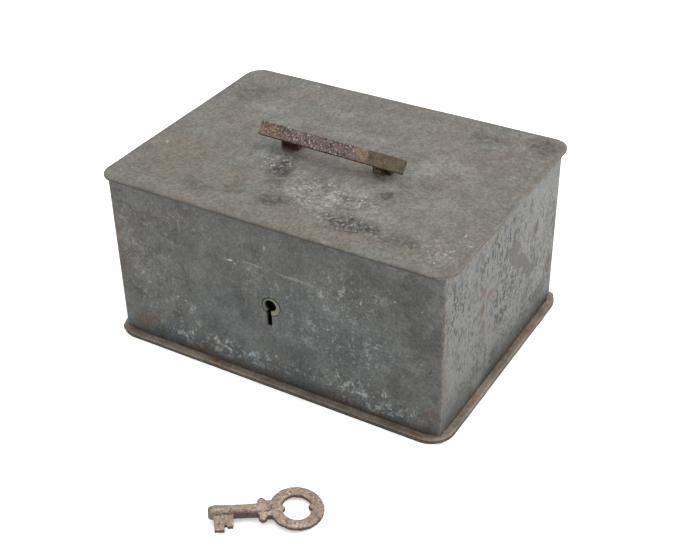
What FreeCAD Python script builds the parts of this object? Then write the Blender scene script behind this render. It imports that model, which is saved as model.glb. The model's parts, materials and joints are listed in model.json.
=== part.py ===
import FreeCAD, Part
import math
import os
import Sketcher

# A small sheet-metal cash box with a flat hinged lid, a lift handle, a warded lock and its loose key.
# Frame: origin at the middle of the base's underside, +Z up, the lock in the -Y wall, the hinges at +Y.
# All sizes are millimetres and live in the sheet "dims".

Vector = FreeCAD.Vector
Rotation = FreeCAD.Rotation
Placement = FreeCAD.Placement

SIZES = {
    # walls and base
    "body_length": 189.6,
    "body_depth": 138.0,
    "wall_sheet": 1.0,
    "bend_radius": 1.6,
    "wall_top": 94.9,
    "edge_hem_height": 7.0,
    "edge_hem_sheet": 0.9,
    "rim_margin": 5.4,
    "rim_sheet": 0.9,
    "rim_corner": 13.5,
    "rim_mouth_gap": 0.9,
    # lid
    "lid_gap": 0.1,
    "lid_overhang": 3.9,
    "lid_sheet": 1.0,
    "lid_corner": 10.0,
    "lid_hem_width": 12.0,
    # hinges
    "hinge_spacing": 55.0,
    "hinge_width": 32.0,
    "hinge_leaf": 1.2,
    "hinge_leaf_drop": 22.0,
    "hinge_axis_out": 2.7,
    "lid_knuckle": 2.6,
    "body_knuckle": 2.5,
    "lid_knuckle_half": 5.6,
    "knuckle_gap": 0.2,
    "notch_slack": 0.5,
    "hinge_pin": 1.4,
    "running_clearance": 0.05,
    "hinge_rivet_offset": 10.0,
    "lid_rivet_inset": 9.9,
    # rivets
    "rivet_shank": 1.5,
    "rivet_head": 2.7,
    "rivet_head_height": 0.9,
    # lock
    "key_place": 0.5,
    "key_height": 47.4,
    "keyhole": 5.45,
    "key_slot": 3.4,
    "key_slot_depth": 12.2,
    "bush_outer": 5.1,
    "bush_bore": 3.9,
    "bush_proud": 0.4,
    "lock_plate": 1.5,
    "lock_left": -30.0,
    "lock_right": 34.0,
    "lock_foot": 31.0,
    "lock_head": 70.0,
    "lock_depth": 13.0,
    "lock_sheet": 1.2,
    "lock_ear": 8.0,
    "bolt_front": 9.0,
    "bolt_thick": 3.0,
    "bolt_travel": 9.0,
    "stump_place": 16.0,
    "stump_height": 60.6,
    "stump_neck": 1.55,
    "drill_pin": 1.5,
    "ward_inner": 8.9,
    "ward_outer": 14.8,
    "ward_sheet": 0.5,
    "ward_depth": 4.05,
    # hasp
    "hasp_place": -22.0,
    "hasp_thick": 2.8,
    "hasp_front": 6.1,
    "hasp_back": 14.9,
    "hasp_foot": 54.6,
    "hasp_rivet_back": 15.8,
    # handle
    "handle_span": 85.4,
    "handle_width": 6.7,
    "handle_thick": 2.2,
    "handle_rise": 6.7,
    "handle_lean": 45.0,
    "arm_spacing": 27.0,
    "arm_width": 6.4,
    "arm_thick": 3.2,
    "arm_eye": 2.9,
    "heel_half": 3.92,
    "heel_drop": 0.56,
    "tenon": 1.5,
    "lug_width": 10.0,
    "lug_ear": 1.6,
    "lug_ear_half": 3.2,
    "lug_sheet": 1.2,
    "lug_tail": 10.5,
    "lug_rivet_back": 7.3,
    "lug_rivet_side": 2.9,
    "lug_rivet": 1.1,
    "lug_rivet_head": 2.0,
    "lug_axis": 4.4,
    "handle_pin": 1.2,
    # key
    "key_barrel": 3.4,
    "key_bore": 1.6,
    "key_bore_depth": 14.0,
    "key_collar_place": 24.4,
    "key_length": 52.9,
    "bow_outer": 13.4,
    "bow_inner": 7.0,
    "bow_thick": 3.1,
    "bit_thick": 2.0,
    "bit_reach": 11.9,
    "key_tip_ahead": 167.2,
    "key_tip_aside": 28.3,
    "key_turn": 37.5,
}

# Places that several sub-parts share, written in terms of the sheet.
FRONT = "(-dims.body_depth / 2)"
BACK = "(dims.body_depth / 2)"
FRONT_INNER = f"({FRONT} + dims.wall_sheet)"
BACK_INNER = f"({BACK} - dims.wall_sheet)"
LID_UNDER = "(dims.wall_top + dims.lid_gap)"
LID_TOP = f"({LID_UNDER} + 2 * dims.lid_sheet)"
HINGE_Y = f"({BACK} + dims.hinge_axis_out)"
HINGE_Z = f"({LID_UNDER} - dims.lid_knuckle)"
LEAF_RIVET_Z = f"({HINGE_Z} - 15)"
LID_RIVET_Y = f"({BACK} + dims.lid_overhang - dims.lid_rivet_inset)"
PLATE_INNER = f"({FRONT_INNER} + dims.lock_plate)"
CASE_FLOOR = f"({PLATE_INNER} + dims.lock_depth)"
CASE_BACK = f"({CASE_FLOOR} + dims.lock_sheet)"
BOLT_FRONT = f"({FRONT} + dims.bolt_front)"
BOLT_BACK = f"({BOLT_FRONT} + dims.bolt_thick)"
LUG_AXIS_Z = f"({LID_TOP} + dims.lug_axis)"

doc = FreeCAD.newDocument("cash_box")
sheet = doc.addObject("Spreadsheet::Sheet", "dims")
for row, (alias, value) in enumerate(SIZES.items(), start=1):
    sheet.set(f"A{row}", alias)
    sheet.set(f"B{row}", str(value))
    sheet.setAlias(f"B{row}", alias)
doc.recompute()

parts = []


def keep(sub_part, label):
    """Mark an object as a sub-part; its label names its file."""
    sub_part.Label = label
    parts.append(sub_part)
    return sub_part


def size(alias):
    """The present value of one cell of the sheet."""
    return float(sheet.get(alias))


# ---------------------------------------------------------------- primitives

def block(name, x, y, z):
    """A box between the (low, high) expressions on each axis."""
    made = doc.addObject("Part::Box", name)
    spans = (("Length", "x", x), ("Width", "y", y), ("Height", "z", z))
    for size, axis, (low, high) in spans:
        made.setExpression(size, f"({high}) - ({low})")
        made.setExpression(f"Placement.Base.{axis}", low)
    return made


ROD_TURNS = {
    "x": Rotation(Vector(0, 1, 0), 90),
    "y": Rotation(Vector(1, 0, 0), -90),
    "z": Rotation(),
}


def rod(name, axis, centre, span, radius):
    """A cylinder along one axis between span's two expressions, about centre on the other two axes."""
    made = doc.addObject("Part::Cylinder", name)
    made.setExpression("Radius", radius)
    made.setExpression("Height", f"({span[1]}) - ({span[0]})")
    made.Placement = Placement(Vector(), ROD_TURNS[axis])
    base = dict(zip([a for a in "xyz" if a != axis], centre))
    base[axis] = span[0]
    for coordinate, expression in base.items():
        made.setExpression(f"Placement.Base.{coordinate}", expression)
    return made


def join(name, shapes):
    made = doc.addObject("Part::MultiFuse", name)
    made.Shapes = shapes
    made.Refine = True
    return made


def cut(name, base, tools):
    made = doc.addObject("Part::Cut", name)
    made.Base = base
    made.Tool = tools[0] if len(tools) == 1 else join(f"{name}_tools", tools)
    made.Refine = True
    return made


# ------------------------------------------------------------------ sketches

def origin_plane(body, role):
    return next(feature for feature in body.Origin.OriginFeatures if feature.Role == role)


def new_sketch(body, name, role, offset):
    """A sketch on one of the body's origin planes, moved along the plane's normal."""
    sketch = body.newObject("Sketcher::SketchObject", name)
    sketch.AttachmentSupport = [(origin_plane(body, role), "")]
    sketch.MapMode = "FlatFace"
    sketch.setExpression("AttachmentOffset.Base.z", offset)
    return sketch


def bind(sketch, label, expression, constraint):
    """Add a constraint, name it, and let an expression drive it."""
    index = sketch.addConstraint(constraint)
    sketch.renameConstraint(index, label)
    sketch.setExpression(f"Constraints.{label}", expression)


def bind_point(sketch, geometry, point, x, y, start):
    """Drive one point of a geometry with an expression for each coordinate, from a starting guess."""
    across = Sketcher.Constraint("DistanceX", -1, 1, geometry, point, start.x)
    upward = Sketcher.Constraint("DistanceY", -1, 1, geometry, point, start.y)
    bind(sketch, f"across{geometry}", x, across)
    bind(sketch, f"upward{geometry}", y, upward)


def outline(sketch, points):
    """A closed polygon whose corners are (x, y) expressions."""
    first = sketch.GeometryCount
    count = len(points)
    angles = [2 * math.pi * i / count for i in range(count)]
    starts = [Vector(10 * math.cos(angle), 10 * math.sin(angle), 0) for angle in angles]
    for i, start in enumerate(starts):
        sketch.addGeometry(Part.LineSegment(start, starts[(i + 1) % count]), False)
    for i in range(count):
        sketch.addConstraint(Sketcher.Constraint("Coincident", first + i, 2, first + (i + 1) % count, 1))
    for i, (x, y) in enumerate(points):
        bind_point(sketch, first + i, 1, x, y, starts[i])


def circle(sketch, x, y, radius):
    index = sketch.GeometryCount
    start = Vector(5 * index + 5, 5, 0)
    sketch.addGeometry(Part.Circle(start, Vector(0, 0, 1), 1), False)
    bind_point(sketch, index, 3, x, y, start)
    bind(sketch, f"radius{index}", radius, Sketcher.Constraint("Radius", index, 1))


def rounded_rectangle(sketch, width, depth, radius):
    """A rectangle with round corners, centred on the sketch's origin."""
    half_x, half_y, r = 100, 75, 4
    inner_x, inner_y = half_x - r, half_y - r
    sides = [
        (Vector(-inner_x, -half_y, 0), Vector(inner_x, -half_y, 0)),
        (Vector(half_x, -inner_y, 0), Vector(half_x, inner_y, 0)),
        (Vector(inner_x, half_y, 0), Vector(-inner_x, half_y, 0)),
        (Vector(-half_x, inner_y, 0), Vector(-half_x, -inner_y, 0)),
    ]
    centres = [(inner_x, -inner_y), (inner_x, inner_y), (-inner_x, inner_y), (-inner_x, -inner_y)]
    for start, end in sides:
        sketch.addGeometry(Part.LineSegment(start, end), False)
    for quarter, (x, y) in enumerate(centres):
        start_angle = math.radians(-90 + 90 * quarter)
        corner = Part.Circle(Vector(x, y, 0), Vector(0, 0, 1), r)
        sketch.addGeometry(Part.ArcOfCircle(corner, start_angle, start_angle + math.pi / 2), False)
    for side in range(4):
        sketch.addConstraint(Sketcher.Constraint("Tangent", side, 2, 4 + side, 1))
        sketch.addConstraint(Sketcher.Constraint("Tangent", 4 + side, 2, (side + 1) % 4, 1))
    for side, direction in enumerate(("Horizontal", "Vertical", "Horizontal", "Vertical")):
        sketch.addConstraint(Sketcher.Constraint(direction, side))
    for corner in (5, 6, 7):
        sketch.addConstraint(Sketcher.Constraint("Equal", 4, corner))
    sketch.addConstraint(Sketcher.Constraint("Symmetric", 4, 3, 6, 3, -1, 1))
    bind(sketch, "corner", radius, Sketcher.Constraint("Radius", 4, r))
    bind(sketch, "width", width, Sketcher.Constraint("DistanceX", 3, 1, 1, 1, 2 * half_x))
    bind(sketch, "depth", depth, Sketcher.Constraint("DistanceY", 0, 1, 2, 1, 2 * half_y))


def new_body(label):
    body = doc.addObject("PartDesign::Body", label)
    return keep(body, label)


def pad(body, sketch, length):
    feature = body.newObject("PartDesign::Pad", f"{sketch.Name}_pad")
    feature.Profile = sketch
    feature.setExpression("Length", length)
    doc.recompute()
    return feature


def pocket(body, sketch, length):
    """Cut down from the sketch, and stop if nothing was removed."""
    before = body.Shape.Volume
    feature = body.newObject("PartDesign::Pocket", f"{sketch.Name}_pocket")
    feature.Profile = sketch
    feature.setExpression("Length", length)
    doc.recompute()
    if body.Shape.Volume >= before - 1e-6:
        raise RuntimeError(f"{feature.Name} removed nothing")
    return feature


# ---------------------------------------------------------------- the shell

SIDES = (("left", "-1"), ("right", "1"))
LEAF_RIVETS = [
    f"({side}) * dims.hinge_spacing + ({place}) * dims.hinge_rivet_offset"
    for _, side in SIDES
    for place in ("-1", "1")
]
LOCK_RIVETS = [
    (x, z)
    for x in ("dims.lock_left + 3", "dims.lock_right - 3")
    for z in ("dims.lock_foot - 4", "dims.lock_head + 4")
]


def make_body_shell():
    """Four walls bent from one sheet, with an outward flange for the base seam and a hemmed top edge."""
    body = new_body("body_shell")
    flange = new_sketch(body, "shell_flange", "XY_Plane", "dims.rim_sheet")
    width = "dims.body_length + 2 * (dims.rim_margin - dims.rim_sheet)"
    depth = "dims.body_depth + 2 * (dims.rim_margin - dims.rim_sheet)"
    rounded_rectangle(flange, width, depth, "dims.rim_corner - dims.rim_sheet")
    pad(body, flange, "dims.rim_sheet")
    walls = new_sketch(body, "shell_walls", "XY_Plane", "dims.rim_sheet")
    rounded_rectangle(walls, "dims.body_length", "dims.body_depth", "dims.bend_radius")
    pad(body, walls, "dims.wall_top - dims.rim_sheet")
    mouth = new_sketch(body, "shell_mouth", "XY_Plane", "dims.wall_top")
    lining = "2 * (dims.wall_sheet + dims.edge_hem_sheet)"
    rounded_rectangle(mouth, f"dims.body_length - {lining}", f"dims.body_depth - {lining}", "0.4")
    pocket(body, mouth, "dims.edge_hem_height")
    inside = new_sketch(body, "shell_inside", "XY_Plane", "dims.wall_top - dims.edge_hem_height")
    lining = "2 * dims.wall_sheet"
    rounded_rectangle(inside, f"dims.body_length - {lining}", f"dims.body_depth - {lining}", "0.6")
    pocket(body, inside, "dims.wall_top - dims.edge_hem_height - dims.rim_sheet")
    keyhole = new_sketch(body, "shell_keyhole", "XZ_Plane", "dims.body_depth / 2")
    circle(keyhole, "dims.key_place", "dims.key_height", "dims.keyhole")
    pocket(body, keyhole, "2 * dims.wall_sheet")
    slot = new_sketch(body, "shell_key_slot", "XZ_Plane", "dims.body_depth / 2")
    outline(slot, key_slot_outline())
    pocket(body, slot, "2 * dims.wall_sheet")
    lock_holes = new_sketch(body, "shell_lock_holes", "XZ_Plane", "dims.body_depth / 2")
    for x, z in LOCK_RIVETS:
        circle(lock_holes, x, z, "dims.rivet_shank")
    pocket(body, lock_holes, "2 * dims.wall_sheet")
    leaf_holes = new_sketch(body, "shell_leaf_holes", "XZ_Plane", f"-{BACK_INNER} + dims.wall_sheet")
    for x in LEAF_RIVETS:
        circle(leaf_holes, x, LEAF_RIVET_Z, "dims.rivet_shank")
    pocket(body, leaf_holes, "3 * dims.wall_sheet")
    notches = new_sketch(body, "shell_notches", "XY_Plane", "dims.wall_top")
    for _, side in SIDES:
        half = "(dims.lid_knuckle_half + dims.notch_slack)"
        centre = f"({side}) * dims.hinge_spacing"
        near, far = f"{BACK} - 3", f"{BACK} + 1"
        left, right = f"{centre} - {half}", f"{centre} + {half}"
        outline(notches, [(left, near), (right, near), (right, far), (left, far)])
    pocket(body, notches, "dims.hinge_leaf + 0.3")


def key_slot_outline():
    left, right = about("dims.key_place", "dims.key_slot / 2")
    foot = "dims.key_height - dims.key_slot_depth"
    return [(left, foot), (right, foot), (right, "dims.key_height"), (left, "dims.key_height")]


def make_bottom_plate():
    """The base sheet, its edge folded up and back over the shell's flange."""
    body = new_body("bottom_plate")
    width = "dims.body_length + 2 * dims.rim_margin"
    depth = "dims.body_depth + 2 * dims.rim_margin"
    base = new_sketch(body, "base_outline", "XY_Plane", "0")
    rounded_rectangle(base, width, depth, "dims.rim_corner")
    pad(body, base, "3 * dims.rim_sheet")
    mouth = new_sketch(body, "base_mouth", "XY_Plane", "3 * dims.rim_sheet")
    gap = "2 * dims.rim_mouth_gap"
    mouth_corner = "dims.bend_radius + dims.rim_mouth_gap"
    rounded_rectangle(mouth, f"dims.body_length + {gap}", f"dims.body_depth + {gap}", mouth_corner)
    pocket(body, mouth, "dims.rim_sheet")
    seam = new_sketch(body, "base_seam", "XY_Plane", "2 * dims.rim_sheet")
    fold = "2 * dims.rim_sheet"
    rounded_rectangle(seam, f"{width} - {fold}", f"{depth} - {fold}", "dims.rim_corner - dims.rim_sheet")
    pocket(body, seam, "dims.rim_sheet")


HASP_RIVETS = ["dims.hasp_place - 6", "dims.hasp_place - 12.5"]
HASP_RIVET_Y = f"({FRONT} + dims.hasp_rivet_back)"
LUG_RIVETS = [
    f"({side}) * dims.arm_spacing + ({place}) * dims.lug_rivet_side"
    for _, side in SIDES
    for place in ("-1", "1")
]


def make_lid_plate():
    """The flat lid with a deep hem folded under its edge."""
    body = new_body("lid_plate")
    reach = "2 * dims.lid_overhang"
    width, depth = f"dims.body_length + {reach}", f"dims.body_depth + {reach}"
    plate = new_sketch(body, "lid_outline", "XY_Plane", LID_UNDER)
    rounded_rectangle(plate, width, depth, "dims.lid_corner")
    pad(body, plate, "2 * dims.lid_sheet")
    hollow = new_sketch(body, "lid_hollow", "XY_Plane", f"{LID_UNDER} + dims.lid_sheet")
    hem = "2 * dims.lid_hem_width"
    rounded_rectangle(hollow, f"{width} - {hem}", f"{depth} - {hem}", "1")
    pocket(body, hollow, "dims.lid_sheet")
    holes = new_sketch(body, "lid_holes", "XY_Plane", LID_TOP)
    for x in LEAF_RIVETS:
        circle(holes, x, LID_RIVET_Y, "dims.rivet_shank")
    for x in HASP_RIVETS:
        circle(holes, x, HASP_RIVET_Y, "dims.rivet_shank")
    for x in LUG_RIVETS:
        circle(holes, x, "dims.lug_rivet_back", "dims.lug_rivet")
    pocket(body, holes, "3 * dims.lid_sheet")


# ------------------------------------------------------------------- hinges

def hinge_centre(side):
    return f"({side}) * dims.hinge_spacing"


def about(centre, half):
    return (f"{centre} - ({half})", f"{centre} + ({half})")


def make_body_leaf(name, side):
    """The leaf on the outside of the back wall, with a knuckle at each end of its width."""
    centre = hinge_centre(side)
    end = "dims.hinge_width / 2"
    near = "(dims.lid_knuckle_half + dims.knuckle_gap)"
    leaf_y = (BACK, f"{BACK} + dims.hinge_leaf")
    shoulder = f"{HINGE_Z} - dims.lid_knuckle - 0.5"
    foot = f"{HINGE_Z} - dims.hinge_leaf_drop"
    shapes = [block(f"{name}_plate", about(centre, end), leaf_y, (foot, shoulder))]
    spans = ((f"{centre} - {end}", f"{centre} - {near}"), (f"{centre} + {near}", f"{centre} + {end}"))
    for place, span in enumerate(spans):
        shapes.append(block(f"{name}_tab{place}", span, leaf_y, (shoulder, HINGE_Z)))
        shapes.append(rod(f"{name}_knuckle{place}", "x", (HINGE_Y, HINGE_Z), span, "dims.body_knuckle"))
    holes = [rod(f"{name}_bore", "x", (HINGE_Y, HINGE_Z), about(centre, end), "dims.hinge_pin")]
    for place in ("-1", "1"):
        x = f"{centre} + ({place}) * dims.hinge_rivet_offset"
        hole_name = f"{name}_hole{'a' if place == '1' else 'b'}"
        holes.append(rod(hole_name, "y", (x, LEAF_RIVET_Z), leaf_y, "dims.rivet_shank"))
    keep(cut(name, join(f"{name}_solid", shapes), holes), name)


def make_lid_leaf(name, side):
    """The leaf under the lid: a T that narrows to pass the wall's notch and rolls into one knuckle."""
    centre = hinge_centre(side)
    leaf_z = (f"{LID_UNDER} - dims.hinge_leaf", LID_UNDER)
    neck_y = (f"{BACK_INNER} - 2", HINGE_Y)
    plate_y = (f"{LID_RIVET_Y} - 3.4", f"{BACK_INNER} - 1.3")
    middle = about(centre, "dims.lid_knuckle_half")
    shapes = [
        block(f"{name}_neck", middle, neck_y, leaf_z),
        block(f"{name}_plate", about(centre, "dims.hinge_width / 2"), plate_y, leaf_z),
        rod(f"{name}_knuckle", "x", (HINGE_Y, HINGE_Z), middle, "dims.lid_knuckle"),
    ]
    bore = "dims.hinge_pin + dims.running_clearance"
    holes = [rod(f"{name}_bore", "x", (HINGE_Y, HINGE_Z), middle, bore)]
    for place in ("-1", "1"):
        x = f"{centre} + ({place}) * dims.hinge_rivet_offset"
        hole_name = f"{name}_hole{'a' if place == '1' else 'b'}"
        holes.append(rod(hole_name, "z", (x, LID_RIVET_Y), leaf_z, "dims.rivet_shank"))
    keep(cut(name, join(f"{name}_solid", shapes), holes), name)


def make_hinges():
    for word, side in SIDES:
        make_body_leaf(f"hinge_leaf_body_{word}", side)
        make_lid_leaf(f"hinge_leaf_lid_{word}", side)
        span = about(hinge_centre(side), "dims.hinge_width / 2")
        pin = f"hinge_pin_{word}"
        keep(rod(pin, "x", (HINGE_Y, HINGE_Z), span, "dims.hinge_pin"), pin)


def rivet(name, axis, centre, shank, heads, shank_radius, head_radius):
    """A shank along an axis with a head on each (low, high) span in heads."""
    shapes = [rod(f"{name}_shank", axis, centre, shank, shank_radius)]
    for place, head in enumerate(heads):
        shapes.append(rod(f"{name}_head{place}", axis, centre, head, head_radius))
    return shapes


def make_hinge_rivets():
    wall_shapes = []
    lid_shapes = []
    outside = f"{BACK} + dims.hinge_leaf"
    under = f"{LID_UNDER} - dims.hinge_leaf"
    for number, x in enumerate(LEAF_RIVETS):
        heads = [(outside, f"{outside} + dims.rivet_head_height"),
                 (f"{BACK_INNER} - dims.rivet_head_height", BACK_INNER)]
        wall_shapes += rivet(f"wall_rivet{number}", "y", (x, LEAF_RIVET_Z), (BACK_INNER, outside), heads,
                             "dims.rivet_shank", "dims.rivet_head")
        heads = [(f"{under} - dims.rivet_head_height", under)]
        lid_shapes += rivet(f"lid_rivet{number}", "z", (x, LID_RIVET_Y), (under, LID_TOP), heads,
                            "dims.rivet_shank", "dims.rivet_head")
    keep(join("hinge_body_rivets", wall_shapes), "hinge_body_rivets")
    keep(join("hinge_lid_rivets", lid_shapes), "hinge_lid_rivets")


# --------------------------------------------------------------------- lock

def make_lock_plate():
    """The flat plate behind the front wall, pierced for the bush, the bit, its rivets and two screws."""
    body = new_body("lock_plate")
    sketch = new_sketch(body, "plate_outline", "XZ_Plane", f"-{PLATE_INNER}")
    left, right = "dims.lock_left - dims.lock_ear", "dims.lock_right + dims.lock_ear"
    foot, head = "dims.lock_foot - 8", "dims.lock_head + 8"
    outline(sketch, [(left, foot), (right, foot), (right, head), (left, head)])
    pad(body, sketch, "dims.lock_plate")
    holes = new_sketch(body, "plate_holes", "XZ_Plane", f"-{FRONT_INNER}")
    circle(holes, "dims.key_place", "dims.key_height", "dims.bush_outer")
    for x, z in LOCK_RIVETS:
        circle(holes, x, z, "dims.rivet_shank")
    for x in SCREWS:
        circle(holes, x, "dims.key_height", "dims.rivet_shank")
    pocket(body, holes, "2 * dims.lock_plate")
    slot = new_sketch(body, "plate_slot", "XZ_Plane", f"-{FRONT_INNER}")
    outline(slot, key_slot_outline())
    pocket(body, slot, "2 * dims.lock_plate")


SCREWS = ["dims.lock_left - dims.lock_ear / 2", "dims.lock_right + dims.lock_ear / 2"]


def make_lock_case():
    """A tray, open towards the plate, with two screw ears and a slot in its top for the hasp."""
    outer_x = ("dims.lock_left", "dims.lock_right")
    outer_z = ("dims.lock_foot", "dims.lock_head")
    outer = block("case_outer", outer_x, (PLATE_INNER, CASE_BACK), outer_z)
    ear_x = ("dims.lock_left - dims.lock_ear", "dims.lock_right + dims.lock_ear")
    ear_y = (PLATE_INNER, f"{PLATE_INNER} + dims.lock_sheet")
    ears = block("case_ears", ear_x, ear_y, about("dims.key_height", "6"))
    hollow = block(
        "case_hollow",
        ("dims.lock_left + dims.lock_sheet", "dims.lock_right - dims.lock_sheet"),
        (PLATE_INNER, CASE_FLOOR),
        ("dims.lock_foot + dims.lock_sheet", "dims.lock_head - dims.lock_sheet"),
    )
    slot_x = about("dims.hasp_place", "dims.hasp_thick / 2 + 0.8")
    slot_z = ("dims.lock_head - 3", "dims.lock_head + 1")
    slot = block("case_slot", slot_x, (f"{PLATE_INNER} + 1", CASE_FLOOR), slot_z)
    holes = []
    for number, x in enumerate(SCREWS):
        hole_name = f"case_screw_hole{number}"
        holes.append(rod(hole_name, "y", (x, "dims.key_height"), ear_y, "dims.rivet_shank"))
    keep(cut("lock_case", join("case_solid", [outer, ears]), [hollow, slot] + holes), "lock_case")


def make_keyhole_bush():
    """A brass ring set in the plate, standing just proud of the wall, slotted for the bit."""
    span = (f"{FRONT} - dims.bush_proud", PLATE_INNER)
    centre = ("dims.key_place", "dims.key_height")
    ring = rod("bush_ring", "y", centre, span, "dims.bush_outer")
    bore = rod("bush_hole", "y", centre, span, "dims.bush_bore")
    slot_z = ("dims.key_height - 2 * dims.bush_outer", "dims.key_height")
    slot = block("bush_slot", about("dims.key_place", "dims.key_slot / 2"), span, slot_z)
    keep(cut("keyhole_bush", ring, [bore, slot]), "keyhole_bush")


def make_lock_fittings():
    """What stands inside the case: drill pin, bolt stump, bolt staple and bridge ward."""
    centre = ("dims.key_place", "dims.key_height")
    pin_y = (f"{PLATE_INNER} + 1", CASE_FLOOR)
    keep(rod("drill_pin", "y", centre, pin_y, "dims.drill_pin"), "drill_pin")
    stump = ("dims.stump_place", "dims.stump_height")
    slack = "dims.running_clearance"
    collar = rod("stump_collar", "y", stump, (f"{BOLT_BACK} + {slack}", CASE_FLOOR), "3.5")
    neck_y = (f"{BOLT_FRONT} - {slack}", f"{BOLT_BACK} + {slack}")
    neck = rod("stump_neck", "y", stump, neck_y, "dims.stump_neck")
    head = rod("stump_head", "y", stump, (f"{BOLT_FRONT} - 1.3", f"{BOLT_FRONT} - {slack}"), "3")
    keep(join("bolt_guide_stump", [collar, neck, head]), "bolt_guide_stump")
    staple_x = ("-16.3", "-13")
    block_y = (f"{BOLT_FRONT} - 1.8", CASE_FLOOR)
    window_y = (f"{BOLT_FRONT} - 0.1", f"{BOLT_BACK} + 0.1")
    staple = block("staple_block", staple_x, block_y, ("56", "66"))
    window = block("staple_window", staple_x, window_y, ("57.9", "63.7"))
    keep(cut("bolt_staple", staple, [window]), "bolt_staple")
    ward_y = (f"{PLATE_INNER} + dims.ward_depth", f"{PLATE_INNER} + dims.ward_depth + dims.ward_sheet")
    disc = rod("ward_disc", "y", centre, ward_y, "dims.ward_outer")
    feet = []
    for word, side in SIDES:
        foot_x = about(f"dims.key_place + ({side}) * 13.8", "0.8")
        feet.append(block(f"ward_foot_{word}", foot_x, (ward_y[0], CASE_FLOOR), ("45", "49")))
    eye = rod("ward_eye", "y", centre, ward_y, "dims.ward_inner")
    gate_z = ("dims.key_height - dims.ward_outer - 1", "dims.key_height")
    gate = block("ward_gate", about("dims.key_place", "dims.key_slot / 2 + 0.5"), ward_y, gate_z)
    keep(cut("bridge_ward", join("ward_solid", [disc] + feet), [eye, gate]), "bridge_ward")


def make_lock_fasteners():
    rivets = []
    for number, (x, z) in enumerate(LOCK_RIVETS):
        heads = [(PLATE_INNER, f"{PLATE_INNER} + dims.rivet_head_height")]
        rivets += rivet(f"lock_rivet{number}", "y", (x, z), (FRONT, PLATE_INNER), heads,
                        "dims.rivet_shank", "dims.rivet_head")
    keep(join("lock_rivets", rivets), "lock_rivets")
    screws = []
    driver_slots = []
    seat = f"{PLATE_INNER} + dims.lock_sheet"
    for number, x in enumerate(SCREWS):
        heads = [(seat, f"{seat} + 1.4")]
        screws += rivet(f"case_screw{number}", "y", (x, "dims.key_height"), (FRONT_INNER, seat), heads,
                        "dims.rivet_shank", "dims.rivet_head")
        groove_y = (f"{seat} + 0.8", f"{seat} + 2")
        groove_z = about("dims.key_height", "0.35")
        driver_slots.append(block(f"driver_slot{number}", about(x, "4"), groove_y, groove_z))
    keep(cut("lock_case_screws", join("screw_solids", screws), driver_slots), "lock_case_screws")


def make_lock_bolt():
    """The sliding bolt, drawn back at rest: a narrow head, a talon for the bit and a slot for the stump."""
    body = new_body("lock_bolt")
    profile = new_sketch(body, "bolt_outline", "XZ_Plane", f"-{BOLT_BACK}")
    talon_roof = "dims.key_height + dims.bit_reach + 0.3"
    outline(profile, [
        ("-17.5", "58"), ("-3", "58"), ("-3", "56.6"), ("1.2", "56.6"),
        ("1.2", talon_roof), ("7.8", talon_roof), ("7.8", "56.6"), ("30.5", "56.6"),
        ("30.5", "64.6"), ("-3", "64.6"), ("-3", "63.6"), ("-17.5", "63.6"),
    ])
    pad(body, profile, "dims.bolt_thick")
    slot = new_sketch(body, "bolt_slot", "XZ_Plane", f"-{BOLT_FRONT}")
    half = "dims.stump_neck + dims.running_clearance"
    left, right = f"dims.stump_place - ({half})", f"dims.stump_place + dims.bolt_travel + {half}"
    low, high = f"dims.stump_height - ({half})", f"dims.stump_height + {half}"
    outline(slot, [(left, low), (right, low), (right, high), (left, high)])
    pocket(body, slot, "2 * dims.bolt_thick")


def make_bolt_spring():
    """A leaf spring brazed on the bolt's back edge; its crown rubs the roof of the case."""
    body = new_body("bolt_spring")
    profile = new_sketch(body, "spring_outline", "XZ_Plane", f"-({BOLT_BACK} - 0.2)")
    crown = "dims.lock_head - dims.lock_sheet - dims.running_clearance"
    outline(profile, [
        ("30", "64.6"), ("30", "65.1"), ("21", "65.1"), ("7", crown),
        ("4", f"{crown} - 0.6"), ("4", f"{crown} - 1.1"), ("7", f"{crown} - 0.55"), ("21", "64.6"),
    ])
    pad(body, profile, "dims.bolt_thick - 0.4")


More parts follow.
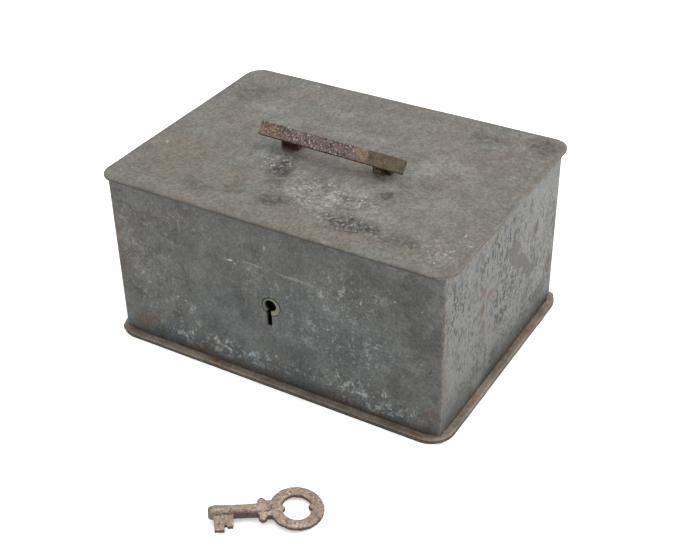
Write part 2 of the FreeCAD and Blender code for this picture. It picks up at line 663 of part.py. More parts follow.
def make_hasp():
    """A blade that hangs from the lid, with a window for the bolt and a flange riveted to the lid."""
    body = new_body("lid_hasp")
    half = "dims.hasp_thick / 2"
    profile = new_sketch(body, "hasp_outline", "YZ_Plane", f"dims.hasp_place - {half}")
    plate_under = f"{LID_UNDER} + dims.lid_sheet"
    front, back = f"{FRONT} + dims.hasp_front", f"{FRONT} + dims.hasp_back"
    seat = f"{FRONT} + 10"
    outline(profile, [
        (front, f"{LID_UNDER} - 0.2"), (front, "63"), (f"{front} + 1.7", "dims.hasp_foot"),
        (back, "dims.hasp_foot"), (back, plate_under), (seat, plate_under), (seat, f"{LID_UNDER} - 0.2"),
    ])
    pad(body, profile, "dims.hasp_thick")
    flange = new_sketch(body, "hasp_flange", "XY_Plane", f"{plate_under} - 1.4")
    left, right = "dims.hasp_place - 16", f"dims.hasp_place + {half}"
    near, far = f"{FRONT} + 10.1", f"{FRONT} + 20.5"
    outline(flange, [(left, near), (right, near), (right, far), (left, far)])
    pad(body, flange, "1.4")
    holes = new_sketch(body, "hasp_holes", "XY_Plane", plate_under)
    for x in HASP_RIVETS:
        circle(holes, x, HASP_RIVET_Y, "dims.rivet_shank")
    pocket(body, holes, "3")
    window = new_sketch(body, "hasp_window", "YZ_Plane", f"dims.hasp_place + {half}")
    near, far = f"{BOLT_FRONT} - 0.7", f"{BOLT_BACK} + 0.7"
    outline(window, [(near, "57.4"), (far, "57.4"), (far, "64.2"), (near, "64.2")])
    pocket(body, window, "dims.hasp_thick + 1")
    shapes = []
    for number, x in enumerate(HASP_RIVETS):
        seat = f"{plate_under} - 1.4"
        heads = [(f"{seat} - dims.rivet_head_height", seat)]
        shapes += rivet(f"hasp_rivet{number}", "z", (x, HASP_RIVET_Y), (seat, LID_TOP), heads,
                        "dims.rivet_shank", "dims.rivet_head")
    keep(join("hasp_rivets", shapes), "hasp_rivets")


# ------------------------------------------------------------------- handle

def make_handle_lug(name, side):
    """A saddle riveted to the lid, with two ears that carry the handle's pin."""
    centre = f"({side}) * dims.arm_spacing"
    half = "dims.lug_width / 2"
    ear_y = about("0", "dims.lug_ear_half")
    tail_y = ("-dims.lug_ear_half", "dims.lug_tail")
    base_z = (LID_TOP, f"{LID_TOP} + dims.lug_sheet")
    shapes = [block(f"{name}_base", about(centre, half), tail_y, base_z)]
    spans = (
        (f"{centre} - {half}", f"{centre} - {half} + dims.lug_ear"),
        (f"{centre} + {half} - dims.lug_ear", f"{centre} + {half}"),
    )
    for number, span in enumerate(spans):
        shapes.append(block(f"{name}_ear{number}", span, ear_y, (LID_TOP, LUG_AXIS_Z)))
        shapes.append(rod(f"{name}_top{number}", "x", ("0", LUG_AXIS_Z), span, "dims.lug_ear_half"))
    holes = [rod(f"{name}_bore", "x", ("0", LUG_AXIS_Z), about(centre, half), "dims.handle_pin")]
    for number, place in enumerate(("-1", "1")):
        x = f"{centre} + ({place}) * dims.lug_rivet_side"
        holes.append(rod(f"{name}_hole{number}", "z", (x, "dims.lug_rivet_back"), base_z, "dims.lug_rivet"))
    keep(cut(name, join(f"{name}_solid", shapes), holes), name)


def lean(sub_part):
    """Turn a piece drawn upright about the pin axis into the handle's forward rest."""
    sub_part.Placement = Placement(Vector(), Rotation(Vector(1, 0, 0), size("handle_lean")))
    sub_part.setExpression("Placement.Base.z", LUG_AXIS_Z)


def make_handle_arm(name, side):
    """A short arm with an eye, a heel that stops it on the saddle, and a tenon through the grip."""
    centre = f"({side}) * dims.arm_spacing"
    across = about(centre, "dims.arm_width / 2")
    shank = block(f"{name}_shank", across, about("0", "dims.arm_thick / 2"), ("0", "dims.handle_rise"))
    eye = rod(f"{name}_eye", "x", ("0", "0"), across, "dims.arm_eye")
    heel = block(f"{name}_heel", across, about("0", "dims.heel_half"), ("-dims.heel_drop", "0.9"))
    tenon_z = ("dims.handle_rise", "dims.handle_rise + dims.handle_thick")
    tenon = rod(f"{name}_tenon", "z", (centre, "0"), tenon_z, "dims.tenon")
    bore = rod(f"{name}_bore", "x", ("0", "0"), across, "dims.handle_pin + dims.running_clearance")
    arm = keep(cut(name, join(f"{name}_solid", [shank, eye, heel, tenon]), [bore]), name)
    lean(arm)


def make_handle_grip():
    """The flat bar that the fingers lift, pierced for the arms' tenons."""
    body = new_body("handle_grip")
    profile = new_sketch(body, "grip_outline", "XY_Plane", "dims.handle_rise")
    rounded_rectangle(profile, "dims.handle_span", "dims.handle_width", "1.3")
    pad(body, profile, "dims.handle_thick")
    holes = new_sketch(body, "grip_holes", "XY_Plane", "dims.handle_rise + dims.handle_thick")
    for _, side in SIDES:
        circle(holes, f"({side}) * dims.arm_spacing", "0", "dims.tenon")
    pocket(body, holes, "2 * dims.handle_thick")
    lean(body)


def make_handle():
    make_handle_grip()
    rivets = []
    top = f"{LID_TOP} + dims.lug_sheet"
    under = f"{LID_TOP} - 2 * dims.lid_sheet"
    for word, side in SIDES:
        make_handle_lug(f"handle_lug_{word}", side)
        make_handle_arm(f"handle_arm_{word}", side)
        pin = f"handle_pin_{word}"
        span = about(f"({side}) * dims.arm_spacing", "dims.lug_width / 2")
        keep(rod(pin, "x", ("0", LUG_AXIS_Z), span, "dims.handle_pin"), pin)
    for number, x in enumerate(LUG_RIVETS):
        heads = [(top, f"{top} + 0.8"), (f"{under} + dims.lid_sheet - 0.8", f"{under} + dims.lid_sheet")]
        shank = (f"{under} + dims.lid_sheet", top)
        rivets += rivet(f"lug_rivet{number}", "z", (x, "dims.lug_rivet_back"), shank, heads,
                        "dims.lug_rivet", "dims.lug_rivet_head")
    keep(join("handle_lug_rivets", rivets), "handle_lug_rivets")


# ---------------------------------------------------------------------- key

def make_key():
    """The loose key, lying in front of the box on the end of its shank and the far edge of its bow."""
    collar = "dims.key_collar_place"
    shank_end = f"{collar} + 2.6"
    bow_centre = "(dims.key_length - dims.bow_outer)"
    flat = about("0", "dims.bow_thick / 2")
    disc = rod("key_bow_disc", "z", (bow_centre, "0"), flat, "dims.bow_outer")
    hole = rod("key_bow_hole", "z", (bow_centre, "0"), flat, "dims.bow_inner")
    shapes = [
        cut("key_bow", disc, [hole]),
        rod("key_shank", "x", ("0", "0"), ("0", shank_end), "dims.key_barrel"),
        block("key_neck", (collar, f"{bow_centre} - dims.bow_inner - 4"), about("0", "4.4"), flat),
    ]
    for number, place in enumerate(("-1", "1")):
        shapes.append(rod(f"key_lobe{number}", "z", (collar, f"({place}) * 6.2"), flat, "2.4"))
        nub = f"{bow_centre} + ({place}) * dims.bow_inner"
        shapes.append(rod(f"key_nub{number}", "z", (nub, "0"), flat, "1.65"))
    shapes.append(block("key_lobe_bar", about(collar, "1.7"), about("0", "6"), flat))
    bit_z = about("0", "dims.bit_thick / 2")
    shapes.append(block("key_bit_root", ("3.4", "12.4"), ("-8.6", "0"), bit_z))
    shapes.append(block("key_bit_long", ("3.6", "8"), ("-dims.bit_reach", "-8"), bit_z))
    shapes.append(block("key_bit_short", ("9.1", "12.4"), ("-10", "-8"), bit_z))
    bore = rod("key_bore", "x", ("0", "0"), ("0", "dims.key_bore_depth"), "dims.key_bore")
    key = keep(cut("key", join("key_solid", shapes), [bore]), "key")
    rest_span = size("key_length") - size("key_collar_place") - 2.6
    drop = math.degrees(math.asin((size("key_barrel") - size("bow_thick") / 2) / rest_span))
    turn = Rotation(Vector(0, 0, 1), size("key_turn")).multiply(Rotation(Vector(0, 1, 0), drop))
    far_edge = turn.multVec(Vector(size("key_length"), 0, -size("bow_thick") / 2))
    tip = Vector(size("key_tip_aside"), -size("key_tip_ahead"), -far_edge.z)
    key.Placement = Placement(tip, turn)


# -------------------------------------------------------------------- build

make_body_shell()
make_bottom_plate()
make_lid_plate()
make_hinges()
make_hinge_rivets()
make_lock_plate()
make_lock_case()
make_keyhole_bush()
make_lock_fittings()
make_lock_fasteners()
make_lock_bolt()
make_bolt_spring()
make_hasp()
make_handle()
make_key()
doc.recompute()

for made in doc.Objects:
    if any(word in ("Invalid", "Error") for word in made.State):
        raise RuntimeError(f"{made.Label} did not compute: {made.State}")
for sub_part in parts:
    if sub_part.Shape.isNull() or not sub_part.Shape.isValid():
        raise RuntimeError(f"{sub_part.Label} has no valid shape")

os.makedirs("parts", exist_ok=True)
for sub_part in parts:
    sub_part.Shape.exportStep(f"parts/{sub_part.Label}.step")
print(f"{len(parts)} sub-parts written")
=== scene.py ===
import json
import math

import bmesh
import bpy
import numpy as np
from mathutils import Matrix, Vector, noise


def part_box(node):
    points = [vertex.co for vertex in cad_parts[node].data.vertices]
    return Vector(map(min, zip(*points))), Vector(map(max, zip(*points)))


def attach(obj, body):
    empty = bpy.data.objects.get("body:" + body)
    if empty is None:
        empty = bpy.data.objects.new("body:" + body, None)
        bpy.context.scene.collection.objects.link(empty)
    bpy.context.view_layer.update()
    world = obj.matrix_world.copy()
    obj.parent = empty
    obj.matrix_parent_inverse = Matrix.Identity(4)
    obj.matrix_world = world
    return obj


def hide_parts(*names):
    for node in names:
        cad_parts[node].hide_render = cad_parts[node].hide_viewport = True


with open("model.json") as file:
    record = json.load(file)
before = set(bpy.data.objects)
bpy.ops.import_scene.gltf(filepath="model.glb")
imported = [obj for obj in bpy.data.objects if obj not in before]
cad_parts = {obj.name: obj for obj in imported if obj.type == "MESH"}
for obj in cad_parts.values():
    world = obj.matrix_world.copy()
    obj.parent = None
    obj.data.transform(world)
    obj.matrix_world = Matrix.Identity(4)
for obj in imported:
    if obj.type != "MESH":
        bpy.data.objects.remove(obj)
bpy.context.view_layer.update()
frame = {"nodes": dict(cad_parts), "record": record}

MM = 0.001


def corners(node):
    """A CAD node's lowest and highest corner, in millimetres."""
    low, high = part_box(node)
    return np.array(low) / MM, np.array(high) / MM


# ------------------------------------------------------------ mesh building

def mesh_object(name, points, faces, weld=False):
    """A mesh object in the scene from points in millimetres, with its normals facing outwards."""
    mesh = bpy.data.meshes.new(name)
    mesh.from_pydata((np.asarray(points, float) * MM).tolist(), [], faces)
    tidy = bmesh.new()
    tidy.from_mesh(mesh)
    if weld:
        bmesh.ops.remove_doubles(tidy, verts=tidy.verts, dist=1e-7)
    bmesh.ops.recalc_face_normals(tidy, faces=tidy.faces)
    tidy.to_mesh(mesh)
    tidy.free()
    made = bpy.data.objects.new(name, mesh)
    bpy.context.scene.collection.objects.link(made)
    return made


def shade(made, sharp):
    """Smooth shading, with edges beyond the sharp angle in degrees left crisp."""
    for polygon in made.data.polygons:
        polygon.use_smooth = True
    made.data.set_sharp_from_angle(angle=math.radians(sharp))


def coat(made, material):
    """Give the object this material and no other."""
    made.data.materials.clear()
    made.data.materials.append(material)


def bake(made):
    """Apply the object's modifiers to its mesh."""
    bpy.context.view_layer.update()
    graph = bpy.context.evaluated_depsgraph_get()
    mesh = bpy.data.meshes.new_from_object(made.evaluated_get(graph), depsgraph=graph)
    made.modifiers.clear()
    old = made.data
    made.data = mesh
    bpy.data.meshes.remove(old)


def cut_away(made, points, faces):
    """Cut a closed shape out of the object's mesh."""
    cutter = mesh_object("cutter", points, faces)
    cutting = made.modifiers.new("cut", "BOOLEAN")
    cutting.operation = "DIFFERENCE"
    cutting.solver = "EXACT"
    cutting.object = cutter
    bake(made)
    bpy.data.objects.remove(cutter)


class Plan:
    """The grid of a rounded rectangle, which can be asked for at any inset."""

    def __init__(self, half_x, half_y, radius, step, corner_cells=5):
        self.half = (half_x, half_y)
        self.radius = radius
        self.lines = [self.axis(half, step, corner_cells) for half in self.half]
        self.count = [len(line) for line in self.lines]
        self.border = self.walk()

    def axis(self, half, step, corner_cells):
        """Grid lines as (sign, straight share, corner share)."""
        bend = np.linspace(0, 1, corner_cells + 1)[1:]
        straight = np.linspace(-1, 1, max(2, round(2 * (half - self.radius) / step)) + 1)
        low = [(-1, -1, u) for u in bend[::-1]]
        middle = [(1, t, 0) for t in straight]
        high = [(1, 1, u) for u in bend]
        return low + middle + high

    def walk(self):
        across, upward = self.count[0] - 1, self.count[1] - 1
        around = [(i, 0) for i in range(across)]
        around += [(across, j) for j in range(upward)]
        around += [(i, upward) for i in range(across, 0, -1)]
        around += [(0, j) for j in range(upward, 0, -1)]
        return around

    def point(self, i, j, inset):
        radius = max(self.radius - inset, 0.25)
        centre = [half - inset - radius for half in self.half]
        sign_x, share_x, u = self.lines[0][i]
        sign_y, share_y, v = self.lines[1][j]
        x = centre[0] * share_x + sign_x * radius * u * math.sqrt(1 - v * v / 2)
        y = centre[1] * share_y + sign_y * radius * v * math.sqrt(1 - u * u / 2)
        return x, y

    def ring(self, inset, z):
        return [(*self.point(i, j, inset), z) for i, j in self.border]

    def sheet(self, inset, z):
        return [(*self.point(i, j, inset), z) for j in range(self.count[1]) for i in range(self.count[0])]

    def sheet_faces(self, first):
        across = self.count[0]
        faces = []
        for j in range(self.count[1] - 1):
            for i in range(across - 1):
                a = first + j * across + i
                faces.append((a, a + 1, a + across + 1, a + across))
        return faces

    def sheet_border(self, first):
        return [first + j * self.count[0] + i for i, j in self.border]


def band(one, other):
    """Quads between two closed rings of vertex numbers."""
    count = len(one)
    return [(one[k], one[(k + 1) % count], other[(k + 1) % count], other[k]) for k in range(count)]


def bands(rows, count, closed=False):
    """Quads between rows of count points, numbered one after another; closed joins the last to the first."""
    faces = []
    for row in range(rows if closed else rows - 1):
        one = row * count
        other = (row + 1) % rows * count
        faces += band(range(one, one + count), range(other, other + count))
    return faces


def slab(plan, section):
    """A solid between the sheets at the section's first and last (inset, z), with rings between."""
    points = plan.sheet(*section[0])
    faces = plan.sheet_faces(0)
    edge = plan.sheet_border(0)
    for inset, z in section[1:-1]:
        first = len(points)
        points += plan.ring(inset, z)
        ring = list(range(first, len(points)))
        faces += band(edge, ring)
        edge = ring
    first = len(points)
    points += plan.sheet(*section[-1])
    faces += [face[::-1] for face in plan.sheet_faces(first)]
    faces += band(edge, plan.sheet_border(first))
    return np.array(points), faces


def frame_tube(plan, section):
    """A closed section of (inset, z) swept round the plan's border."""
    points = [point for inset, z in section for point in plan.ring(inset, z)]
    return np.array(points), bands(len(section), len(plan.border), closed=True)


def wobble(points, size, seed):
    """Smooth noise from -1 to 1 at points in millimetres, with bumps of about that size."""
    shift = Vector((seed * 13.7, seed * 7.1, seed * 3.3))
    return np.array([noise.noise(Vector(p) / size + shift) for p in points]) * 1.6


def lathe(profile, segments=28):
    """Points and faces of (radius, height) turned about Z; a zero radius closes an end."""
    points = []
    faces = []
    rings = []
    for radius, height in profile:
        first = len(points)
        if radius < 1e-6:
            points.append((0, 0, height))
            rings.append([first] * segments)
            continue
        for k in range(segments):
            angle = 2 * math.pi * k / segments
            points.append((radius * math.cos(angle), radius * math.sin(angle), height))
        rings.append(list(range(first, len(points))))
    for one, other in zip(rings, rings[1:]):
        for k in range(segments):
            n = (k + 1) % segments
            face = [one[k], one[n], other[n], other[k]]
            faces.append(tuple(dict.fromkeys(face)))
    return np.array(points), faces


def merge(pieces):
    """Join several (points, faces) into one."""
    points = []
    faces = []
    for piece_points, piece_faces in pieces:
        first = sum(len(p) for p in points)
        points.append(np.asarray(piece_points, float))
        faces += [tuple(first + i for i in face) for face in piece_faces]
    return np.vstack(points), faces


def turned(points, matrix):
    return np.array([matrix @ Vector(p) for p in points])


TO_AXIS = {
    "+x": Matrix.Rotation(math.radians(90), 3, "Y"),
    "-y": Matrix.Rotation(math.radians(90), 3, "X"),
    "+y": Matrix.Rotation(math.radians(-90), 3, "X"),
    "+z": Matrix.Identity(3),
    "-z": Matrix.Rotation(math.radians(180), 3, "X"),
}


def dome(centre, axis, radius, height, shank):
    """A rivet's domed head on a short shank, its seat at centre and its crown along axis."""
    angles = np.linspace(0, math.pi / 2, 7)
    crown = [(radius * math.cos(a), height * (0.25 + 0.75 * math.sin(a))) for a in angles]
    crown[-1] = (0, height)
    profile = [(0, -shank), (radius * 0.5, -shank), (radius * 0.5, -0.02), (radius * 0.96, -0.02)] + crown
    points, faces = lathe(profile)
    return turned(points, TO_AXIS[axis]) + np.array(centre), faces


# ---------------------------------------------------------------- materials

class Finish:
    """A node material built from short calls; every length in it is in metres."""

    def __init__(self, name):
        self.material = bpy.data.materials.new(name)
        self.material.use_nodes = True
        self.tree = self.material.node_tree
        self.tree.nodes.clear()
        self.where = self.add("ShaderNodeTexCoord").outputs["Object"]

    def add(self, kind, **properties):
        made = self.tree.nodes.new(kind)
        for name, value in properties.items():
            setattr(made, name, value)
        return made

    def feed(self, socket, value):
        if isinstance(value, bpy.types.NodeSocket):
            self.tree.links.new(value, socket)
        elif isinstance(value, (tuple, list)) and len(value) == 3 and socket.type == "RGBA":
            socket.default_value = (*value, 1)
        else:
            socket.default_value = value

    def math(self, operation, a, b=0.0, c=0.0):
        made = self.add("ShaderNodeMath", operation=operation)
        for socket, value in zip(made.inputs, (a, b, c)):
            self.feed(socket, value)
        return made.outputs[0]

    def times(self, a, b):
        return self.math("MULTIPLY", a, b)

    def plus(self, a, b):
        return self.math("ADD", a, b)

    def most(self, *values):
        result = values[0]
        for value in values[1:]:
            result = self.math("MAXIMUM", result, value)
        return result

    def stretch(self, at, scale, shift=(0, 0, 0), turn=(0, 0, 0)):
        made = self.add("ShaderNodeMapping")
        self.feed(made.inputs["Vector"], at)
        made.inputs["Scale"].default_value = scale
        made.inputs["Location"].default_value = shift
        made.inputs["Rotation"].default_value = turn
        return made.outputs[0]

    def noise(self, size, detail=4, rough=0.55, at=None, seed=0.0, bend=0.0, output="Fac"):
        """Noise from 0 to 1 with blotches about that size."""
        made = self.add("ShaderNodeTexNoise", noise_dimensions="4D")
        self.feed(made.inputs["Vector"], at or self.where)
        made.inputs["W"].default_value = seed
        made.inputs["Scale"].default_value = 0.5 / size
        made.inputs["Detail"].default_value = detail
        made.inputs["Roughness"].default_value = rough
        made.inputs["Distortion"].default_value = bend
        return made.outputs[output]

    def dots(self, size, radius, at, seed, thin):
        """Ragged dots of about the radius, one per cell at most; a higher thin leaves fewer of them."""
        cells = self.add("ShaderNodeTexVoronoi", feature="F1")
        self.feed(cells.inputs["Vector"], at)
        cells.inputs["Scale"].default_value = 1 / size
        patchy = self.noise(size * 2.2, 3, 0.6, at=at, seed=seed)
        reach = self.span(patchy, thin - 0.06, thin + 0.12, 0.0, radius / size * 1.4)
        return self.span(self.math("SUBTRACT", reach, cells.outputs["Distance"]), 0.0, 0.07)

    def span(self, value, low, high, to_low=0.0, to_high=1.0):
        """Map low..high to to_low..to_high with soft ends."""
        made = self.add("ShaderNodeMapRange", interpolation_type="SMOOTHSTEP")
        for name, number in (("From Min", low), ("From Max", high), ("To Min", to_low), ("To Max", to_high)):
            self.feed(made.inputs[name], number)
        self.feed(made.inputs["Value"], value)
        return made.outputs[0]

    def mix(self, share, a, b, blend="MIX"):
        made = self.add("ShaderNodeMix", data_type="RGBA", blend_type=blend)
        self.feed(made.inputs[0], share)
        self.feed(made.inputs[6], a)
        self.feed(made.inputs[7], b)
        return made.outputs[2]

    def scale(self, colour, factor):
        """The colour made darker or lighter by a factor."""
        made = self.add("ShaderNodeHueSaturation")
        self.feed(made.inputs["Color"], colour)
        self.feed(made.inputs["Value"], factor)
        return made.outputs[0]

    def vector(self, operation, a, b, output=0):
        made = self.add("ShaderNodeVectorMath", operation=operation)
        self.feed(made.inputs[0], a)
        self.feed(made.inputs[1], b)
        return made.outputs[output]

    def split(self, at=None):
        made = self.add("ShaderNodeSeparateXYZ")
        self.feed(made.inputs[0], at or self.where)
        return made.outputs

    def warped(self, size, amount, seed=0.0):
        """The place, pushed about by noise, so that what is drawn there gets a ragged edge."""
        noisy = self.noise(size, 4, 0.5, seed=seed, output="Color")
        push = self.vector("SUBTRACT", noisy, (0.5, 0.5, 0.5))
        return self.vector("ADD", self.where, self.vector("MULTIPLY", push, (amount, amount, amount)))

    def facing(self, output="Normal"):
        """The surface's direction, as x, y and z."""
        return self.split(self.add("ShaderNodeNewGeometry").outputs[output])

    def marks(self, at, spots):
        """Soft ellipsoids: (centre in mm, radii in mm, strength[, turn about each axis in degrees])."""
        total = None
        for centre, radii, strength, *turn in spots:
            away = self.vector("SUBTRACT", at, tuple(c * MM for c in centre))
            if turn:
                turned_back = self.add("ShaderNodeVectorRotate", rotation_type="EULER_XYZ", invert=True)
                self.feed(turned_back.inputs["Vector"], away)
                turned_back.inputs["Rotation"].default_value = [math.radians(a) for a in turn[0]]
                away = turned_back.outputs[0]
            shares = self.vector("MULTIPLY", away, tuple(1 / (r * MM) for r in radii))
            far = self.vector("LENGTH", shares, (0, 0, 0), "Value")
            one = self.span(far, 1.0, 0.35, 0.0, strength)
            total = one if total is None else self.math("MAXIMUM", total, one)
        return total

    def patches(self, marked, size, seed, ragged=1.1):
        """Marks turned into crisp ragged patches."""
        edge = self.times(self.plus(self.noise(size, 6, 0.7, seed=seed), -0.5), ragged * 3)
        return self.span(self.plus(marked, edge), 0.40, 0.56)

    def surface(self, colour, roughness, metallic, height, depth, glow=0.0):
        """Join everything in a principled surface; height is in metres once scaled by depth."""
        bump = self.add("ShaderNodeBump")
        bump.inputs["Strength"].default_value = 1.0
        bump.inputs["Distance"].default_value = depth
        self.feed(bump.inputs["Height"], height)
        skin = self.add("ShaderNodeBsdfPrincipled")
        self.feed(skin.inputs["Base Color"], colour)
        self.feed(skin.inputs["Roughness"], roughness)
        self.feed(skin.inputs["Metallic"], metallic)
        skin.inputs["Specular IOR Level"].default_value = 0.25
        skin.inputs["Emission Color"].default_value = (1, 1, 1, 1)
        skin.inputs["Emission Strength"].default_value = glow
        self.feed(skin.inputs["Normal"], bump.outputs[0])
        out = self.add("ShaderNodeOutputMaterial")
        self.tree.links.new(skin.outputs[0], out.inputs["Surface"])
        return self.material


def on_face(axis, place, spots, depth=9):
    """Marks for Finish.marks from spots drawn on a flat face across that axis.

    A spot is two coordinates, two radii, a strength and sometimes a turn, in the face's own plane.
    """
    placed = []
    for a, b, wide, high, strength, *turn in spots:
        centre = [a, b]
        radii = [wide, high]
        centre.insert(axis, place)
        radii.insert(axis, depth)
        placed.append((centre, radii, strength, *turn))
    return placed


def on_lid(*spots, depth=9):
    return on_face(2, 97, spots, depth)


def on_front(*spots):
    return on_face(1, -70, spots)


def on_back(*spots):
    return on_face(1, 70, spots)


def on_left(*spots):
    return on_face(0, -95, spots)


def on_right(*spots):
    return on_face(0, 95, spots)


def tone(red, green, blue):
    """Screen values from 0 to 255 as linear light."""
    def linear(c):
        c /= 255
        return c / 12.92 if c <= 0.04045 else ((c + 0.055) / 1.055) ** 2.4
    return linear(red), linear(green), linear(blue)


RUST = tone(112, 74, 50)
BROWN = tone(104, 86, 74)


def lid_finish():
    m = Finish("lid_steel")
    x, y, z = m.split()
    cloud = m.noise(0.040, 5, 0.6, seed=1)
    warmth = m.noise(0.016, 5, 0.65, seed=2, bend=0.5)
    mottle = m.noise(0.0050, 7, 0.80, seed=3)
    grain = m.noise(0.0008, 3, 0.8, seed=4)
    colour = m.mix(m.span(warmth, 0.38, 0.62), tone(108, 108, 103), tone(112, 107, 100))
    ragged = m.warped(0.012, 0.016, 5)
    olive = m.marks(ragged, on_lid(
        (-70, -40, 32, 34, 0.8), (-80, 10, 22, 26, 0.5), (10, -66, 60, 10, 0.5), (74, -60, 26, 12, 0.7),
        (-40, -40, 16, 14, 0.7), (60, 30, 26, 18, 0.4),
    ))
    colour = m.mix(m.times(olive, 0.6), colour, tone(110, 103, 92))
    pink = m.marks(ragged, on_lid(
        (74, 34, 22, 16, 0.8), (88, 56, 14, 16, 0.9), (-2, 62, 34, 9, 0.6), (40, 62, 24, 9, 0.5),
        (-90, -8, 9, 24, 0.5), (50, -62, 24, 8, 0.4),
    ))
    colour = m.mix(m.times(pink, 0.65), colour, tone(112, 101, 97))
    light = m.marks(ragged, on_lid(
        (12, -31, 14, 9, 1.0), (13, -43, 12, 9, 0.9), (-36, -14, 6, 10, 0.8), (36, -12, 8, 10, 0.8),
        (43, 10, 14, 10, 0.7), (-11, 25, 14, 8, 0.6), (8, 26, 12, 8, 0.6), (-24, 43, 10, 7, 0.7),
        (24, -22, 12, 6, 0.6), (0, -36, 12, 6, 0.5), (-24, -18, 5, 5, 0.7), (44, -40, 14, 8, 0.6),
        (24, -56, 8, 6, 0.4), (-60, 34, 16, 14, 0.3), (52, 20, 20, 14, 0.4), (-8, -20, 8, 5, 0.5),
        (64, -20, 24, 16, 0.3), (-50, 20, 20, 12, 0.3),
    ))
    patches = m.times(light, m.span(m.noise(0.006, 6, 0.7, seed=6), 0.30, 0.62))
    colour = m.mix(m.times(patches, 0.75), colour, tone(146, 145, 140))
    smooth = m.marks(ragged, on_lid((1, -10, 14, 12, 0.8), (6, -22, 10, 8, 0.5)))
    colour = m.mix(m.times(smooth, 0.5), colour, tone(92, 95, 93))
    dark = m.marks(ragged, on_lid(
        (34, -53, 20, 11, 1.0), (46, -49, 9, 8, 0.8), (-20, -22, 9, 13, 0.9), (-6, -50, 12, 9, 0.8),
        (-14, -36, 9, 9, 0.4), (38, -20, 5, 6, 0.8), (64, -52, 16, 9, 0.5), (-82, 44, 14, 16, 0.45),
        (88, 60, 12, 10, 0.7), (8, -30, 5, 9, 0.5), (20, -29, 10, 3, 0.6), (-30, -50, 10, 8, 0.35),
        (58, 54, 16, 8, 0.35), (-50, -56, 18, 8, 0.3),
    ))
    speckle = m.span(m.noise(0.0018, 6, 0.85, seed=7, bend=0.4), 0.45, 0.55)
    colour = m.mix(m.times(m.times(dark, speckle), 1.0), colour, tone(40, 40, 38))
    colour = m.mix(m.times(dark, 0.35), colour, tone(70, 69, 66))
    warm = m.marks(ragged, on_lid(
        (17, -30, 7, 3, 1.0), (-38, -38, 7, 6, 0.7), (-64, -24, 18, 20, 0.5), (-80, 28, 9, 20, 0.6),
        (-78, -36, 20, 20, 0.5), (14, 22, 6, 5, 0.7), (88, -62, 12, 8, 0.9), (92, -20, 6, 30, 0.5),
        (-88, -62, 10, 9, 0.5), (-20, 16, 10, 4, 0.6), (34, 14, 9, 5, 0.5), (60, -60, 26, 8, 0.5),
        (-37, -30, 4, 6, 0.8), (-16, -32, 6, 4, 0.6), (74, 62, 20, 8, 0.5),
    ))
    warm = m.times(warm, m.span(m.noise(0.0030, 6, 0.7, seed=8), 0.42, 0.60))
    colour = m.mix(m.times(warm, 0.42), colour, tone(110, 92, 74))
    colour = m.scale(colour, m.span(mottle, 0.33, 0.67, 0.87, 1.13))
    colour = m.scale(colour, m.span(grain, 0.40, 0.60, 0.60, 0.95))
    worn_zone = m.marks(ragged, on_lid(
        (16, -34, 40, 22, 1.0), (-24, -16, 14, 18, 0.9), (30, -52, 34, 12, 0.8), (80, -54, 20, 14, 0.6),
    ))
    speck = m.noise(0.0011, 4, 0.85, seed=37)
    colour = m.mix(m.times(worn_zone, m.span(speck, 0.54, 0.62)), colour, tone(156, 154, 148))
    colour = m.mix(m.times(worn_zone, m.span(speck, 0.44, 0.34, 0, 0.8)), colour, tone(48, 47, 44))
    tint = m.noise(0.0030, 4, 0.7, seed=9)
    colour = m.mix(m.span(tint, 0.54, 0.68, 0, 0.22), colour, tone(98, 84, 74))
    pale = m.span(m.noise(0.0012, 4, 0.7, seed=10), 0.60, 0.70)
    colour = m.mix(m.times(pale, m.span(cloud, 0.35, 0.65, 0.15, 0.4)), colour, tone(150, 148, 143))
    from_side = m.math("ABSOLUTE", x)
    from_front = m.math("ABSOLUTE", y)
    rim = m.most(m.span(from_side, 0.0945, 0.0985), m.span(from_front, 0.0687, 0.0727))
    worn = m.times(rim, m.span(m.noise(0.007, 4, 0.6, seed=11), 0.35, 0.6))
    colour = m.mix(m.times(worn, 0.5), colour, tone(88, 76, 64))
    side = m.times(m.span(z, 0.0965, 0.0961), m.most(m.span(from_side, 0.0975, 0.0982),
                                                     m.span(from_front, 0.0717, 0.0724)))
    colour = m.mix(m.times(side, 0.8), colour, tone(52, 49, 45))
    dots = m.marks(m.warped(0.0015, 0.0016, 12), on_lid(
        (-88, -27, 0.9, 0.6, 1.0), (-52, 67, 1.3, 0.5, 1.0), (-73, 42, 0.7, 0.5, 0.8),
        (89, -36, 0.7, 1.2, 0.6), (95, -43, 1.0, 0.5, 0.6), (86, -63, 0.7, 0.9, 0.6),
        (77, -52, 1.2, 0.4, 0.6), (-86.6, -58, 1.3, 0.5, 0.4), (84, -56, 0.5, 1.2, 0.5),
        (90, -50, 0.4, 1.2, 0.5), (70, -46, 1.4, 0.4, 0.4), (79, -46, 1.6, 0.4, 0.4), depth=3,
    ))
    colour = m.mix(m.times(dots, 0.8), colour, tone(190, 187, 180))
    grit = m.times(m.marks(ragged, on_lid(
        (80, -54, 18, 12, 1.0),
    )), m.span(m.noise(0.0016, 4, 0.8, seed=36), 0.60, 0.68))
    colour = m.mix(m.times(grit, 0.8), colour, tone(160, 158, 152))
    rough = m.plus(m.span(cloud, 0.3, 0.7, 0.50, 0.60), m.span(mottle, 0.3, 0.7, 0.06, -0.06))
    height = m.plus(m.times(grain, 0.35), m.plus(m.times(mottle, 0.9), m.times(cloud, 1.4)))
    return m.surface(colour, rough, 0.35, height, 0.00025)


